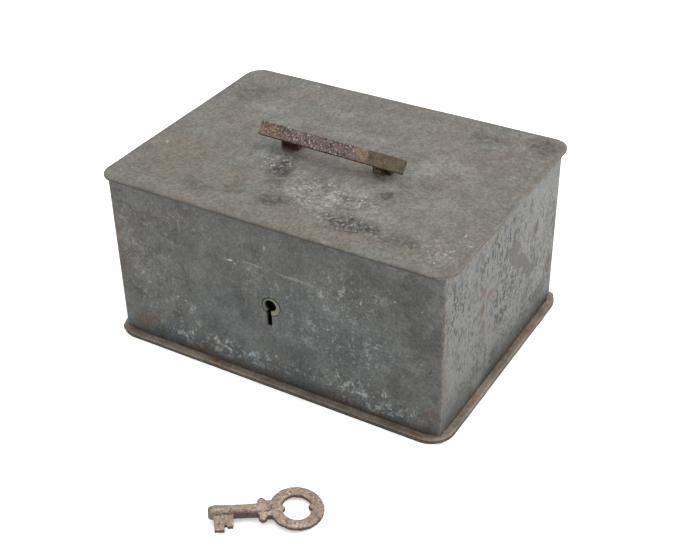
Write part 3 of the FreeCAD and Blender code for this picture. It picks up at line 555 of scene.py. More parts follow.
def box_finish():
    m = Finish("box_steel")
    x, y, z = m.split()
    cloud = m.noise(0.028, 5, 0.6, seed=13)
    mottle = m.noise(0.0045, 7, 0.80, seed=14, bend=0.3)
    grain = m.noise(0.0008, 3, 0.8, seed=15)
    ragged = m.warped(0.010, 0.012, 16)
    # the front, back and left: darker base tones as painted shade, with pale flecks
    shaded = m.mix(m.span(cloud, 0.35, 0.65), tone(74, 75, 73), tone(83, 83, 80))
    gloom = m.marks(ragged, on_front(
        (84, 64, 13, 34, 1.0), (20, 84, 16, 9, 0.8), (-40, 77, 6, 2, 1.0), (-35, 66, 8, 4, 0.8),
        (-17, 45, 4, 15, 0.8, (0, -14, 0)), (-9, 20, 9, 8, 0.7), (24, 39, 9, 2.4, 0.9),
        (26, 48, 3, 10, 0.7), (48, 40, 8, 3, 0.8), (9, 27, 4, 12, 0.7, (0, -20, 0)), (-58, 23, 6, 5, 0.7),
        (-50, 45, 3, 20, 0.5), (60, 56, 10, 12, 0.3), (-86, 82, 7, 3, 0.6), (40, 22, 7, 6, 0.5),
        (-70, 60, 9, 5, 0.4), (-4, 80, 10, 5, 0.4), (74, 28, 12, 14, 0.5),
    ))
    shaded = m.mix(m.times(m.patches(gloom, 0.006, 36, 2.2), 0.5), shaded, tone(58, 57, 55))
    # bluish and darker towards the foot of the walls: partly their own tone, partly painted shade against the
    # floor's bounce light
    bluish = m.times(m.span(z, 0.018, 0.006), m.span(m.noise(0.010, 6, 0.7, seed=17), 0.44, 0.58))
    shaded = m.mix(m.times(bluish, 0.65), shaded, tone(70, 76, 83))
    cool = m.marks(ragged, on_front((30, 40, 60, 34, 0.9), (-20, 30, 40, 26, 0.8)))
    shaded = m.mix(m.times(cool, 0.5), shaded, tone(72, 78, 79))
    warmer = m.marks(ragged, on_front((-86, 60, 16, 36, 0.9), (-60, 84, 40, 8, 0.5)))
    shaded = m.mix(m.times(warmer, 0.5), shaded, tone(88, 83, 76))
    blotch = m.noise(0.011, 5, 0.65, seed=35, bend=0.6)
    shaded = m.scale(shaded, m.span(blotch, 0.38, 0.62, 0.84, 1.14))
    shaded = m.scale(shaded, m.span(mottle, 0.33, 0.67, 0.84, 1.18))
    frayed = m.warped(0.0012, 0.0013, 18)
    fleck_at = m.stretch(frayed, (1, 1, 0.85), turn=(0, 0.5, 0))
    fleck = m.span(m.noise(0.0022, 5, 0.85, fleck_at, 19), 0.545, 0.62)
    fine = m.span(m.noise(0.0011, 4, 0.85, m.stretch(frayed, (1, 1, 0.9), (0.2, 0.1, 0.3)), 20), 0.55, 0.65)
    busy = m.marks(
        ragged,
        on_front(
            (44, 66, 32, 20, 0.8), (40, 40, 40, 20, 0.8), (57, 13, 40, 11, 1.0), (-26, 12, 56, 10, 1.0),
            (10, 14, 26, 9, 0.8), (-70, 44, 30, 40, 0.55), (-60, 24, 34, 20, 0.7), (-90, 80, 10, 14, 0.9),
            (0, 60, 24, 16, 0.5), (-60, 80, 44, 14, 0.4), (36, 18, 12, 8, 0.9),
        )
        + on_left((20, 24, 56, 20, 0.8), (-30, 64, 26, 22, 0.6))
        + on_back((20, 18, 80, 14, 0.9), (-60, 56, 34, 30, 0.6), (60, 60, 30, 26, 0.5)),
    )
    busy = m.plus(m.times(busy, 0.75), 0.15)
    shaded = m.mix(m.times(fleck, m.times(busy, 0.7)), shaded, tone(136, 140, 132))
    shaded = m.mix(m.times(fine, m.times(busy, 0.8)), shaded, tone(144, 147, 144))
    low_flecks = m.marks(ragged, on_front((57, 12, 38, 11, 1.0), (-28, 11, 54, 8, 0.9)))
    big = m.span(m.noise(0.0030, 5, 0.85, m.stretch(frayed, (1, 1, 1), (0.5, 0.4, 0.1)), 22), 0.53, 0.60)
    shaded = m.mix(m.times(m.times(big, low_flecks), 0.8), shaded, tone(154, 160, 162))
    streak = m.marks(m.warped(0.005, 0.0025, 21), on_front(
        (15, 68.4, 14, 1.2, 0.28), (-22, 67.6, 4, 1.0, 0.3), (-8, 69.4, 9, 1.0, 0.3),
    ))
    shaded = m.mix(streak, shaded, tone(140, 141, 140))
    spots = m.marks(m.warped(0.0015, 0.0018, 22), on_front(
        (-22, 67.6, 2.2, 0.7, 0.9), (-19, 66.6, 1.0, 0.5, 0.8), (-1, 81, 0.8, 1.4, 0.7),
        (52, 67, 0.9, 1.6, 0.8), (70, 73.6, 0.8, 0.8, 0.8), (84, 73, 0.5, 0.9, 0.6),
        (84, 43, 0.8, 0.6, 0.7), (60, 43.5, 2.4, 0.6, 0.6), (-52, 33, 0.9, 0.8, 0.7),
        (-57, 34, 0.8, 0.7, 0.7),
    ))
    shaded = m.mix(m.times(spots, 0.6), shaded, tone(170, 170, 164))
    # the right side: paler base tones as painted light, with dark flecks
    pale = m.mix(m.span(cloud, 0.35, 0.65), tone(86, 86, 83), tone(95, 95, 91))
    low = m.times(m.span(z, 0.026, 0.008), m.span(m.noise(0.014, 5, 0.65, seed=23), 0.32, 0.52))
    pale = m.mix(m.times(low, 0.75), pale, tone(66, 68, 68))
    pale = m.scale(pale, m.span(mottle, 0.33, 0.67, 0.86, 1.14))
    shade_marks = m.marks(m.warped(0.008, 0.009, 24), on_right(
        (-2, 33, 8, 7, 0.7), (2, 67, 8, 4, 0.7), (31, 26, 8, 4, 0.8, (35, 0, 0)), (62, 50, 6, 9, 0.5),
        (-10, 13, 9, 6, 0.6), (50, 16, 18, 6, 0.6), (-3, 53, 18, 1.3, 0.9, (-4, 0, 0)), (14, 74, 7, 3, 0.5),
        (-40, 14, 20, 6, 0.4),
    ))
    pale = m.mix(m.times(m.patches(shade_marks, 0.004, 33), 0.7), pale, tone(60, 60, 58))
    slant = m.stretch(frayed, (1, 1, 0.60), turn=(0.20, 0, 0))
    pits = m.dots(0.0027, 0.00088, slant, 25, 0.42)
    small = m.dots(0.0016, 0.00050, m.stretch(frayed, (1, 1, 0.6), (0.3, 0.2, 0.1), (0.15, 0, 0)), 26, 0.42)
    crowd = m.marks(ragged, on_right(
        (-56, 69, 18, 26, 0.9), (-10, 72, 34, 20, 1.0), (6, 44, 34, 26, 1.0), (50, 44, 28, 40, 0.8),
        (20, 80, 26, 14, 0.8), (-40, 40, 30, 30, 0.5), (0, 16, 90, 12, 0.7),
    ))
    crowd = m.plus(m.times(crowd, 0.55), 0.32)
    pale = m.mix(m.times(pits, crowd), pale, tone(26, 28, 27))
    pale = m.mix(m.times(small, m.times(crowd, 0.95)), pale, tone(24, 26, 25))
    glint = m.dots(0.0024, 0.00040, m.stretch(frayed, (1, 1, 0.8), (0.7, 0.6, 0.2)), 27, 0.50)
    pale = m.mix(m.times(glint, 0.6), pale, tone(140, 142, 138))
    smear = m.marks(m.warped(0.008, 0.009, 28), on_right(
        (12, 62, 11, 8, 1.0), (20, 54, 12, 7, 1.0, (-45, 0, 0)), (30, 42, 16, 6, 1.0, (-56, 0, 0)),
        (9, 67, 9, 4, 0.9), (40, 62, 5, 8, 0.8), (61, 28, 6, 9, 0.8), (33, 36, 7, 6, 0.9),
    ))
    pale = m.mix(m.times(m.patches(smear, 0.004, 34), 0.9), pale, tone(60, 56, 53))
    facing = m.facing("True Normal")
    lit_right_side = m.times(m.span(x, 0.0900, 0.0905), m.span(facing[0], 0.5, 0.8))
    # painted light and shade: the right side takes the paler copy, the other walls the darker one
    colour = m.mix(lit_right_side, shaded, pale)
    # rust
    rust = m.marks(
        m.warped(0.004, 0.004, 29),
        on_front(
            (-82, 10, 7, 8, 1.0, (0, 30, 0)), (-74, 13, 4, 7, 0.8, (0, 30, 0)), (-92, 66, 3, 3, 1.0),
            (-92, 43, 3, 8, 0.8), (-93, 56, 2, 30, 0.5), (-43, 5, 8, 3, 1.0), (-13, 60, 3, 1.8, 0.8),
            (-1, 36, 2.6, 1.6, 0.9), (94.6, 70, 1.2, 20, 0.5), (94.6, 34, 1.2, 14, 0.6),
            (90, 15, 5, 4, 0.9), (-95, 20, 4, 12, 0.7), (2, 4, 20, 2, 0.5), (44, 5, 16, 2, 0.4),
        )
        + on_left((40, 9, 18, 6, 0.9), (-20, 90, 24, 2, 0.7))
        + on_back((58, 8, 22, 5, 0.9), (-40, 12, 14, 6, 0.8), (55, 68, 18, 4, 0.6), (-55, 68, 18, 5, 0.7)),
    )
    red = m.marks(
        m.warped(0.005, 0.006, 30),
        on_right(
            (-25, 61, 5, 4.4, 0.9), (-17, 55, 5, 3.4, 0.9), (-25, 50, 4, 4, 1.1), (-22, 34, 3, 12, 0.6),
            (40, 62, 3, 5, 0.7), (60, 28, 4, 6, 0.6), (-55, 92, 10, 3, 1.0), (-20, 91.5, 16, 1.4, 0.8),
            (-60, 6, 10, 4, 0.5), (30, 6, 20, 3, 0.4),
        )
        + [((95, -69, 60), (1.5, 1.6, 34), 0.7), ((95, -69, 20), (1.5, 1.8, 14), 0.7)],
    )
    rust = m.times(m.most(rust, red), m.span(m.noise(0.0030, 6, 0.7, seed=31), 0.34, 0.54))
    foot = m.times(m.span(z, 0.0075, 0.0030), m.span(m.noise(0.010, 4, 0.6, seed=32), 0.4, 0.62))
    rust = m.most(rust, m.times(foot, 0.75))
    colour = m.mix(m.times(rust, 0.55), colour, tone(96, 70, 56))
    outward = m.plus(m.times(facing[0], x), m.times(facing[1], y))
    inside = m.span(outward, -0.02, -0.05, 0, 0.6)
    colour = m.mix(inside, colour, tone(104, 101, 96))
    colour = m.scale(colour, m.span(grain, 0.40, 0.60, 0.84, 1.20))
    rough = m.plus(m.span(cloud, 0.3, 0.7, 0.46, 0.56), m.times(rust, 0.2))
    height = m.plus(m.times(grain, 0.35), m.plus(m.times(mottle, 0.9), m.times(cloud, 1.8)))
    height = m.plus(height, m.times(rust, 0.3))
    return m.surface(colour, rough, 0.35, height, 0.00025)


def base_finish():
    m = Finish("base_steel")
    x, y, z = m.split()
    cloud = m.noise(0.02, 5, 0.6, seed=31)
    streaks = m.noise(0.004, 6, 0.75, at=m.stretch(m.where, (0.35, 0.35, 1)), seed=32)
    grain = m.noise(0.0008, 3, 0.8, seed=33)
    colour = m.mix(m.span(cloud, 0.35, 0.65), tone(108, 98, 89), tone(120, 111, 101))
    rusty = m.times(m.span(m.noise(0.012, 5, 0.65, seed=34), 0.54, 0.66), 0.5)
    spot = m.marks(m.warped(0.003, 0.002, 35), [
        ((-34, -71.5, 3), (3, 2.4, 3), 1.0), ((82, -72, 3), (7, 2, 3), 0.6),
    ])
    colour = m.mix(m.most(rusty, spot), colour, tone(112, 78, 56))
    colour = m.scale(colour, m.span(streaks, 0.36, 0.64, 0.72, 1.28))
    upward = m.facing()[2]
    outer = m.most(m.span(m.math("ABSOLUTE", x), 0.0960, 0.0975),
                   m.span(m.math("ABSOLUTE", y), 0.0700, 0.0715))
    # painted shade: the rim's outer sides, turned away from the sky, darker than its top
    colour = m.mix(m.times(outer, m.span(upward, 0.80, 0.45, 0, 0.7)), colour, tone(44, 41, 37))
    seam = m.times(m.span(z, 0.00120, 0.00135), m.span(z, 0.00190, 0.00175))
    colour = m.mix(m.times(m.times(seam, outer), 0.8), colour, tone(26, 24, 22))
    # painted shadow: near black at the very bottom, where the base meets the floor
    colour = m.mix(m.span(z, 0.0010, 0.0006, 0, 0.95), colour, tone(14, 13, 12))
    colour = m.scale(colour, m.span(grain, 0.40, 0.60, 0.82, 1.18))
    rough = m.span(cloud, 0.3, 0.7, 0.5, 0.65)
    height = m.plus(m.times(grain, 0.3), m.plus(m.times(streaks, 0.7), cloud))
    return m.surface(colour, rough, 0.3, height, 0.0002)


def key_side_shade_and_pale_tip(m, colour, upward, cloud, pits):
    """Painted shade on the sides, which face away from the sky, and a paler tip."""
    # painted shade: the sides darker than the sky-facing top
    colour = m.mix(m.span(upward, 0.80, 0.25, 0, 0.75), colour, tone(62, 54, 56))
    tinned = m.marks(m.where, [((30, -172, 3), (9, 9, 9), 1.0)])
    return m.mix(m.times(tinned, 0.45), colour, tone(134, 132, 118))


def fitting_rust_and_lit_stripe(m, colour, upward, cloud, pits):
    """Redder at the left, with a pale stripe of painted light on the right arm."""
    x = m.split()[0]
    colour = m.mix(m.span(x, -0.020, -0.024, 0, 0.5), colour, tone(84, 48, 36))
    # painted light: a lit stripe over the left part of the right arm
    lit_stripe = m.times(m.span(x, 0.0220, 0.0230), m.span(x, 0.0272, 0.0262))
    return m.mix(m.times(lit_stripe, 0.75), colour, tone(132, 110, 94))


def handle_wear(m, colour, upward, cloud, pits):
    """Tan rust towards both ends, and a smooth olive right end."""
    x = m.split()[0]
    tan = m.span(m.noise(0.0025, 5, 0.8, seed=45), 0.42, 0.58)
    tan = m.times(tan, m.most(m.span(x, -0.026, -0.038), m.span(x, 0.008, 0.016)))
    colour = m.mix(m.times(tan, 0.6), colour, tone(128, 104, 78))
    worn_end = m.span(m.plus(x, m.times(cloud, 0.006)), 0.022, 0.027)
    olive = m.mix(m.span(pits, 0.4, 0.6), tone(66, 60, 48), tone(88, 80, 64))
    return m.mix(m.times(worn_end, 0.9), colour, olive)


def iron_finish(name, tones, seed, share, up, wear_and_painted_light):
    """Pitted, rusty iron in dark, middle and light tones with bright specks; the last argument adds its own
    marks, painted light and shade among them.

    Share thins the specks, and up sets how much painted shade darkens what doesn't face the sky.
    """
    dark, middle, light, speck = tones
    m = Finish(name)
    cloud = m.noise(0.006, 5, 0.65, seed=seed)
    pits = m.noise(0.0012, 5, 0.80, seed=seed + 1, bend=0.5)
    grain = m.noise(0.0006, 3, 0.8, seed=seed + 2)
    colour = m.mix(m.span(cloud, 0.35, 0.65), middle, light)
    colour = m.mix(m.span(pits, 0.50, 0.38, 0, 0.85), colour, dark)
    bright = m.span(m.noise(0.00055, 4, 0.85, seed=seed + 3), share, share + 0.08)
    upward = m.facing()[2]
    # painted shade: faces turned away from the sky darker, with fewer bright specks
    painted_sky_shade = m.span(upward, 0.25, 0.95, 1.0 - up, 1.0)
    colour = m.mix(m.times(m.times(bright, 0.8), painted_sky_shade), colour, speck)
    colour = m.scale(colour, m.times(painted_sky_shade, m.span(grain, 0.40, 0.60, 0.84, 1.16)))
    # the piece's own marks, painted light and shade among them
    colour = wear_and_painted_light(m, colour, upward, cloud, pits)
    rough = m.span(pits, 0.3, 0.7, 0.75, 0.5)
    height = m.plus(pits, m.times(grain, 0.3))
    return m.surface(colour, rough, 0.3, height, 0.0003)


def keyhole_shade(m, colour):
    """Dark behind the keyhole."""
    shade = m.marks(m.where, [((0.5, -67, 44), (5, 3, 14), 1.0)])
    return m.mix(m.span(shade, 0.1, 0.4, 0, 0.95), colour, tone(12, 11, 10))


def bush_dirt_and_bore_shade(m, colour):
    """Dirt on the ring's left, and painted shade deeper in its bore."""
    x, y = m.split()[:2]
    colour = m.mix(m.span(x, 0.0018, -0.0012, 0, 0.9), colour, tone(80, 80, 72))
    # painted shade: the bore darker deeper in
    return m.mix(m.span(y, -0.0690, -0.0687, 0, 0.9), colour, tone(40, 38, 32))


def clean(m, colour):
    return colour


def plain_finish(name, low, high, rust, metallic, roughness, seed, wear_and_painted_light=clean):
    """Dull metal: two tones, a brushed grain and a bloom of tarnish; the last argument adds its own marks,
    painted shade among them.
    """
    m = Finish(name)
    cloud = m.noise(0.008, 5, 0.6, seed=seed)
    brushed = m.noise(0.0008, 4, 0.6, at=m.stretch(m.where, (0.08, 1, 1)), seed=seed + 1)
    colour = m.mix(m.span(cloud, 0.35, 0.65), low, high)
    bloom = m.times(m.span(m.noise(0.005, 5, 0.65, seed=seed + 2), 0.52, 0.66), 0.6)
    colour = m.mix(bloom, colour, rust)
    # the finish's own marks, painted shade among them
    colour = wear_and_painted_light(m, colour)
    colour = m.mix(m.span(brushed, 0.5, 0.3, 0, 0.25), colour, tone(50, 47, 43))
    rough = m.plus(m.span(cloud, 0.3, 0.7, roughness - 0.05, roughness + 0.08), m.times(bloom, 0.25))
    height = m.plus(m.times(brushed, 0.3), m.times(bloom, 0.4))
    return m.surface(colour, rough, metallic, height, 0.0001)


FINISHES = {
    "lid_steel": lid_finish(),
    "box_steel": box_finish(),
    "base_steel": base_finish(),
    "handle_steel": iron_finish(
        "handle_steel", (tone(46, 38, 35), tone(84, 71, 67), tone(98, 84, 79), tone(206, 196, 186)),
        41, 0.545, 0.3, handle_wear),
    "fitting_steel": iron_finish(
        "fitting_steel", (tone(30, 22, 18), tone(66, 48, 38), tone(86, 66, 54), tone(112, 92, 78)),
        51, 0.56, 0.4, fitting_rust_and_lit_stripe),
    "key_steel": iron_finish(
        "key_steel", (tone(84, 72, 62), tone(126, 110, 97), tone(146, 131, 117), tone(196, 186, 170)),
        61, 0.545, 0.60, key_side_shade_and_pale_tip),
    "bush_brass": plain_finish(
        "bush_brass", tone(104, 102, 84), tone(136, 136, 116), tone(66, 62, 48), 0.5, 0.5, 71, bush_dirt_and_bore_shade),
    "hinge_steel": plain_finish("hinge_steel", tone(110, 106, 100), tone(128, 124, 118), RUST, 0.7, 0.45, 75),
    "lock_steel": plain_finish(
        "lock_steel", tone(120, 118, 114), tone(142, 140, 136), RUST, 0.8, 0.4, 81, keyhole_shade),
    "spring_steel": plain_finish(
        "spring_steel", tone(130, 130, 130), tone(150, 150, 150), BROWN, 0.9, 0.35, 85),
}


def add_piece(name, shape, body, slot, replaces, sharp=35):
    """A finished piece that rides on a body and stands for CAD nodes."""
    made = mesh_object(name, *shape, weld=True)
    shade(made, sharp)
    coat(made, FINISHES[slot])
    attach(made, body)
    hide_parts(*replaces)
    return made


# -------------------------------------------------------------- body pieces

shell_low, shell_high = corners("body_shell")
rim_high = corners("bottom_plate")[1]
lid_low, lid_high = corners("lid_plate")
FLANGE = 4.5
BODY_X, BODY_Y = shell_high[0] - FLANGE, shell_high[1] - FLANGE
BEND = 1.6
WALL = 1.0
TOP = shell_high[2]
FOOT = shell_low[2]
HINGE_X = 55
NOTCH_HALF = 6.1

# the keyhole: the ring's centre, the hole's radius, and the slot, which stands a little to the left
KEY_X, KEY_Z = 1.2, 47.4
HOLE = 5.45
SLOT_HALF, SLOT_FOOT = 1.5, 35.5
SLOT_ASIDE = -1.4


def slotted_arc(radius, steps):
    """Angles round the keyhole's centre, from one side of the slot to the other."""
    start = -math.pi / 2 + math.asin((SLOT_ASIDE + SLOT_HALF) / radius)
    stop = 1.5 * math.pi - math.asin((SLOT_HALF - SLOT_ASIDE) / radius)
    return np.linspace(start, stop, steps)


def wall_dents(points):
    """How far each wall point moves inwards: slow waves and a few dents, none at the seams."""
    waves = 0.28 * wobble(points, 46, 3) + 0.12 * wobble(points, 17, 4)
    hits = [((-30, -70, 60), 22, 0.45), ((58, -70, 34), 26, 0.5), ((95, -10, 52), 20, 0.5),
            ((95, 34, 30), 16, 0.35), ((-95, 10, 45), 24, 0.5), ((20, 70, 40), 30, 0.5),
            ((70, -70, 74), 14, 0.3)]
    for centre, reach, depth in hits:
        far = np.linalg.norm(points - np.array(centre), axis=1) / reach
        waves += depth * np.exp(-far ** 2 * 2)
    z = points[:, 2]
    fade = np.clip((z - 3) / 10, 0, 1) * np.clip((TOP - 2.5 - z) / 10, 0, 1)
    far = np.hypot(points[:, 0] - KEY_X, points[:, 2] - KEY_Z)
    near_key = np.where(points[:, 1] < 0, np.clip((far - 40) / 25, 0, 1), 1.0)
    near_hinge = np.where(points[:, 1] > 0, np.clip((68 - z) / 14, 0, 1), 1.0)
    return waves * fade * near_key * near_hinge


def make_shell():
    plan = Plan(BODY_X, BODY_Y, BEND, 3.0, 4)
    heights = np.linspace(5, TOP - 2.2, 30)
    section = [(-2.8, FOOT + 0.9), (-0.5, FOOT + 0.9), (-0.12, FOOT + 1.0), (0, FOOT + 1.3),
               (0, FOOT + 2.4)]
    section += [(0, z) for z in heights]
    section += [(0, TOP - 1.0), (0.1, TOP - 0.4), (0.4, TOP - 0.08), (0.95, TOP), (1.5, TOP - 0.08),
                (1.8, TOP - 0.4), (1.9, TOP - 1.0), (1.9, TOP - 3), (1.9, TOP - 5.4), (1.86, TOP - 6.4),
                (1.6, TOP - 6.9), (1.05, TOP - 7.0), (1.0, TOP - 7.5)]
    section += [(WALL, z) for z in heights[::-1] if z < TOP - 8]
    section += [(WALL, FOOT + 2.4), (WALL, FOOT), (-0.5, FOOT), (-2.8, FOOT)]
    points, faces = frame_tube(plan, section)
    dents = wall_dents(points)
    side_x = np.abs(np.abs(points[:, 0]) - BODY_X) < 2.6
    side_y = np.abs(np.abs(points[:, 1]) - BODY_Y) < 2.6
    dents[side_x & side_y] = 0
    from_side = np.clip((BODY_X - np.abs(points[:, 0])) / 20, 0, 1)
    from_front = np.clip((BODY_Y - np.abs(points[:, 1])) / 20, 0, 1)
    dents *= np.where(side_y, from_side, from_front)
    move = np.zeros_like(points)
    move[:, 0] = np.where(side_x, -np.sign(points[:, 0]) * dents, 0)
    move[:, 1] = np.where(side_y & ~side_x, -np.sign(points[:, 1]) * dents, 0)
    points = points + move
    shell = add_piece("shell", (points, faces), "box", "box_steel", ["body_shell"])
    cut_shell(shell)


def prism(outline, low, high, axis):
    """A cutter: an outline in the other two axes, from low to high along axis."""
    count = len(outline)
    points = []
    for level in (low, high):
        for a, b in outline:
            points.append({"y": (a, level, b), "z": (a, b, level)}[axis])
    faces = [tuple(range(count)), tuple(range(2 * count - 1, count - 1, -1))]
    return np.array(points, float), faces + bands(2, count)


def keyhole_outline():
    outline = [(HOLE * math.cos(a), KEY_Z + HOLE * math.sin(a)) for a in slotted_arc(HOLE, 40)]
    left, right = SLOT_ASIDE - SLOT_HALF, SLOT_ASIDE + SLOT_HALF
    outline += [(left, SLOT_FOOT + 0.6), (left + 0.4, SLOT_FOOT)]
    outline += [(right - 0.4, SLOT_FOOT), (right, SLOT_FOOT + 0.6)]
    return [(KEY_X + across, height) for across, height in outline]


def cut_shell(shell):
    """Open the keyhole and the two notches for the lid's knuckles."""
    holes = [prism(keyhole_outline(), -BODY_Y - 3, -BODY_Y + 3, "y")]
    for centre in (-HINGE_X, HINGE_X):
        left, right = centre - NOTCH_HALF, centre + NOTCH_HALF
        notch = [(left, BODY_Y - 3), (right, BODY_Y - 3), (right, BODY_Y + 1), (left, BODY_Y + 1)]
        holes.append(prism(notch, TOP - 1.5, TOP + 1, "z"))
    cut_away(shell, *merge(holes))
    shade(shell, 35)


def make_base():
    plan = Plan(rim_high[0], rim_high[1], 13.5, 3.0, 12)
    section = [(1.2, 0.9), (0.95, 0.95), (0.9, 1.85), (2.5, 1.85), (4.4, 1.85), (4.5, 2.1), (4.45, 2.5),
               (4.25, 2.68), (3.2, 2.7), (2.2, 2.7), (1.2, 2.68), (0.55, 2.58), (0.18, 2.3),
               (0.04, 1.95), (0.06, 1.62), (0.22, 1.46), (0.22, 1.34), (0.04, 1.18), (0.0, 0.8),
               (0.08, 0.35), (0.4, 0.05), (1.0, 0.0)]
    points, faces = slab(plan, section)
    inset = np.minimum(rim_high[0] - np.abs(points[:, 0]), rim_high[1] - np.abs(points[:, 1]))
    upper = np.clip((points[:, 2] - 1.9) / 0.5, 0, 1)
    on_rim = np.clip((5.2 - inset) / 1.0, 0, 1)
    points[:, 2] -= upper * on_rim * (0.16 + 0.14 * wobble(points, 16, 8) + 0.06 * wobble(points, 5, 9))
    lip = np.clip((2.0 - inset) / 2.0, 0, 1) * (points[:, 2] > 0.2)
    pull = lip * np.clip(0.18 + 0.16 * wobble(points, 13, 10), 0, 0.5)
    side_x = (rim_high[0] - np.abs(points[:, 0])) < (rim_high[1] - np.abs(points[:, 1]))
    points[:, 0] -= np.where(side_x, np.sign(points[:, 0]) * pull, 0)
    points[:, 1] -= np.where(side_x, 0, np.sign(points[:, 1]) * pull)
    # the folded edge has crept: narrower to the left and the back, and askew to the right
    creep = np.where(points[:, 0] > 0, 0.45 * (1 - points[:, 1] / rim_high[1]), -0.7)
    points[:, 0] -= creep * np.clip((np.abs(points[:, 0]) - 60) / 36, 0, 1)
    points[:, 1] -= 1.0 * np.clip((points[:, 1] - 30) / 40, 0, 1)
    add_piece("base", (points, faces), "box", "base_steel", ["bottom_plate"])


def make_lid():
    plan = Plan(lid_high[0], lid_high[1], 10.0, 3.0, 7)
    top, low = lid_high[2], lid_low[2]
    section = [(1.0, top), (0.6, top - 0.05), (0.25, top - 0.22), (0.06, top - 0.55), (0.0, top - 1.0),
               (0.04, low + 0.55), (0.2, low + 0.25), (0.5, low + 0.05), (1.0, low), (3.0, low), (6.0, low),
               (9.0, low), (11.6, low), (11.95, low + 0.1), (12.0, low + 0.9), (12.3, low + 1.0)]
    points, faces = slab(plan, section)
    x, y, z = points.T
    level = np.clip(0.22 + 0.3 * wobble(points, 55, 21) + 0.10 * wobble(points, 20, 22), 0, 1)
    for side in (-1, 1):
        far = np.hypot((x - side * 27) / 14, (y - 3) / 16)
        level *= np.clip((far - 0.8) / 1.2, 0, 1)
    edge = np.minimum(lid_high[0] - np.abs(x), lid_high[1] - np.abs(y))
    level *= np.clip((edge - 13) / 16, 0, 1)
    points[:, 2] -= level
    brim = np.clip((3.0 - edge) / 3.0, 0, 1)
    points[:, 2] -= brim * np.clip(0.10 * wobble(points, 30, 23), 0, 1) * (z > low + 0.9)
    pull = np.clip(1.6 - edge, 0, 1) * np.clip(0.1 + 0.12 * wobble(points, 24, 24), 0, 0.4)
    side_x = (lid_high[0] - np.abs(x)) < (lid_high[1] - np.abs(y))
    points[:, 0] -= np.where(side_x, np.sign(x) * pull, 0)
    points[:, 1] -= np.where(side_x, 0, np.sign(y) * pull)
    add_piece("lid", (points, faces), "lid", "lid_steel", ["lid_plate"])


# ------------------------------------------------------------ handle pieces

HANDLE_AXIS = np.array([0, 0, 101.4])
LEAN = Matrix.Rotation(math.radians(45), 3, "X")


def leaned(points):
    """From the handle's upright drawing about its pin to where it rests."""
    return turned(points, LEAN) + HANDLE_AXIS


GRIP_ASIDE, GRIP_LOWERED, GRIP_SKEW = 0.5, 0.95, 0.017


def make_grip():
    plan = Plan(42.3, 3.75, 0.8, 0.45, 3)
    low, high = 6.7, 8.9
    section = [(0.35, high), (0.12, high - 0.08), (0.0, high - 0.35), (0.0, high - 0.8), (0.0, low + 0.8),
               (0.0, low + 0.35), (0.12, low + 0.08), (0.35, low)]
    points, faces = slab(plan, section)
    smooth_end = np.clip((points[:, 0] - 26) / 6, 0, 1)
    pits = np.clip(wobble(points, 1.5, 31), 0, 1) ** 1.5 * 0.34
    pits += np.clip(wobble(points, 3.6, 32), -0.4, 1) * 0.16
    pits *= 1 - 0.8 * smooth_end
    middle = np.array([0, 0, (low + high) / 2])
    outward = points - middle
    outward[:, 0] = np.where(np.abs(points[:, 0]) > 41.3, np.sign(points[:, 0]) * 1.5, 0)
    outward[:, 1] = np.where(np.abs(points[:, 1]) > 3.3, np.sign(points[:, 1]) * 1.5, 0)
    outward[:, 2] = np.where(np.abs(outward[:, 2]) > 0.7, np.sign(outward[:, 2]) * 1.5, 0)
    length = np.maximum(np.linalg.norm(outward, axis=1), 1e-6)
    points = points - outward / length[:, None] * np.clip(pits + 0.06, 0, 0.6)[:, None]
    # it sits a little low, to the left and askew on its arms
    points[:, 1] -= GRIP_LOWERED + GRIP_SKEW * points[:, 0]
    points[:, 0] -= GRIP_ASIDE
    add_piece("grip", (leaned(points), faces), "handle", "handle_steel", ["handle_grip"], 60)


def make_arm(side):
    """A flat stem under the grip, swelling into a rounded eye on the pin."""
    outline = []
    for angle in np.radians(np.linspace(200, 340, 15)):
        outline.append((2.9 * math.cos(angle), 2.9 * math.sin(angle)))
    rising = [(3.5, -0.45), (3.75, 0.2), (3.4, 0.85), (2.2, 1.6), (1.7, 2.7), (1.6, 3.8), (1.6, 7.6)]
    outline += rising + [(-y, z) for y, z in rising[::-1]]
    count = len(outline)
    middle = side * 27
    points = []
    for across, shrink in ((-3.2, 0.25), (-2.95, 0.0), (2.95, 0.0), (3.2, 0.25)):
        points += [(middle + across, y - np.sign(y) * min(shrink, abs(y)), z) for y, z in outline]
    faces = [tuple(range(count))[::-1], tuple(range(3 * count, 4 * count))]
    faces += bands(4, count)
    name = "left" if side < 0 else "right"
    shape = (leaned(np.array(points, float)), faces)
    add_piece("arm_" + name, shape, "handle", "fitting_steel", ["handle_arm_" + name], 40)


# ---------------------------------------------------------------- the rivets

HEAD = (2.7, 0.88)
LUG_HEAD = (2.0, 0.78)


def heads(places, axis, size, shank):
    return [dome(place, axis, *size, shank) for place in places]


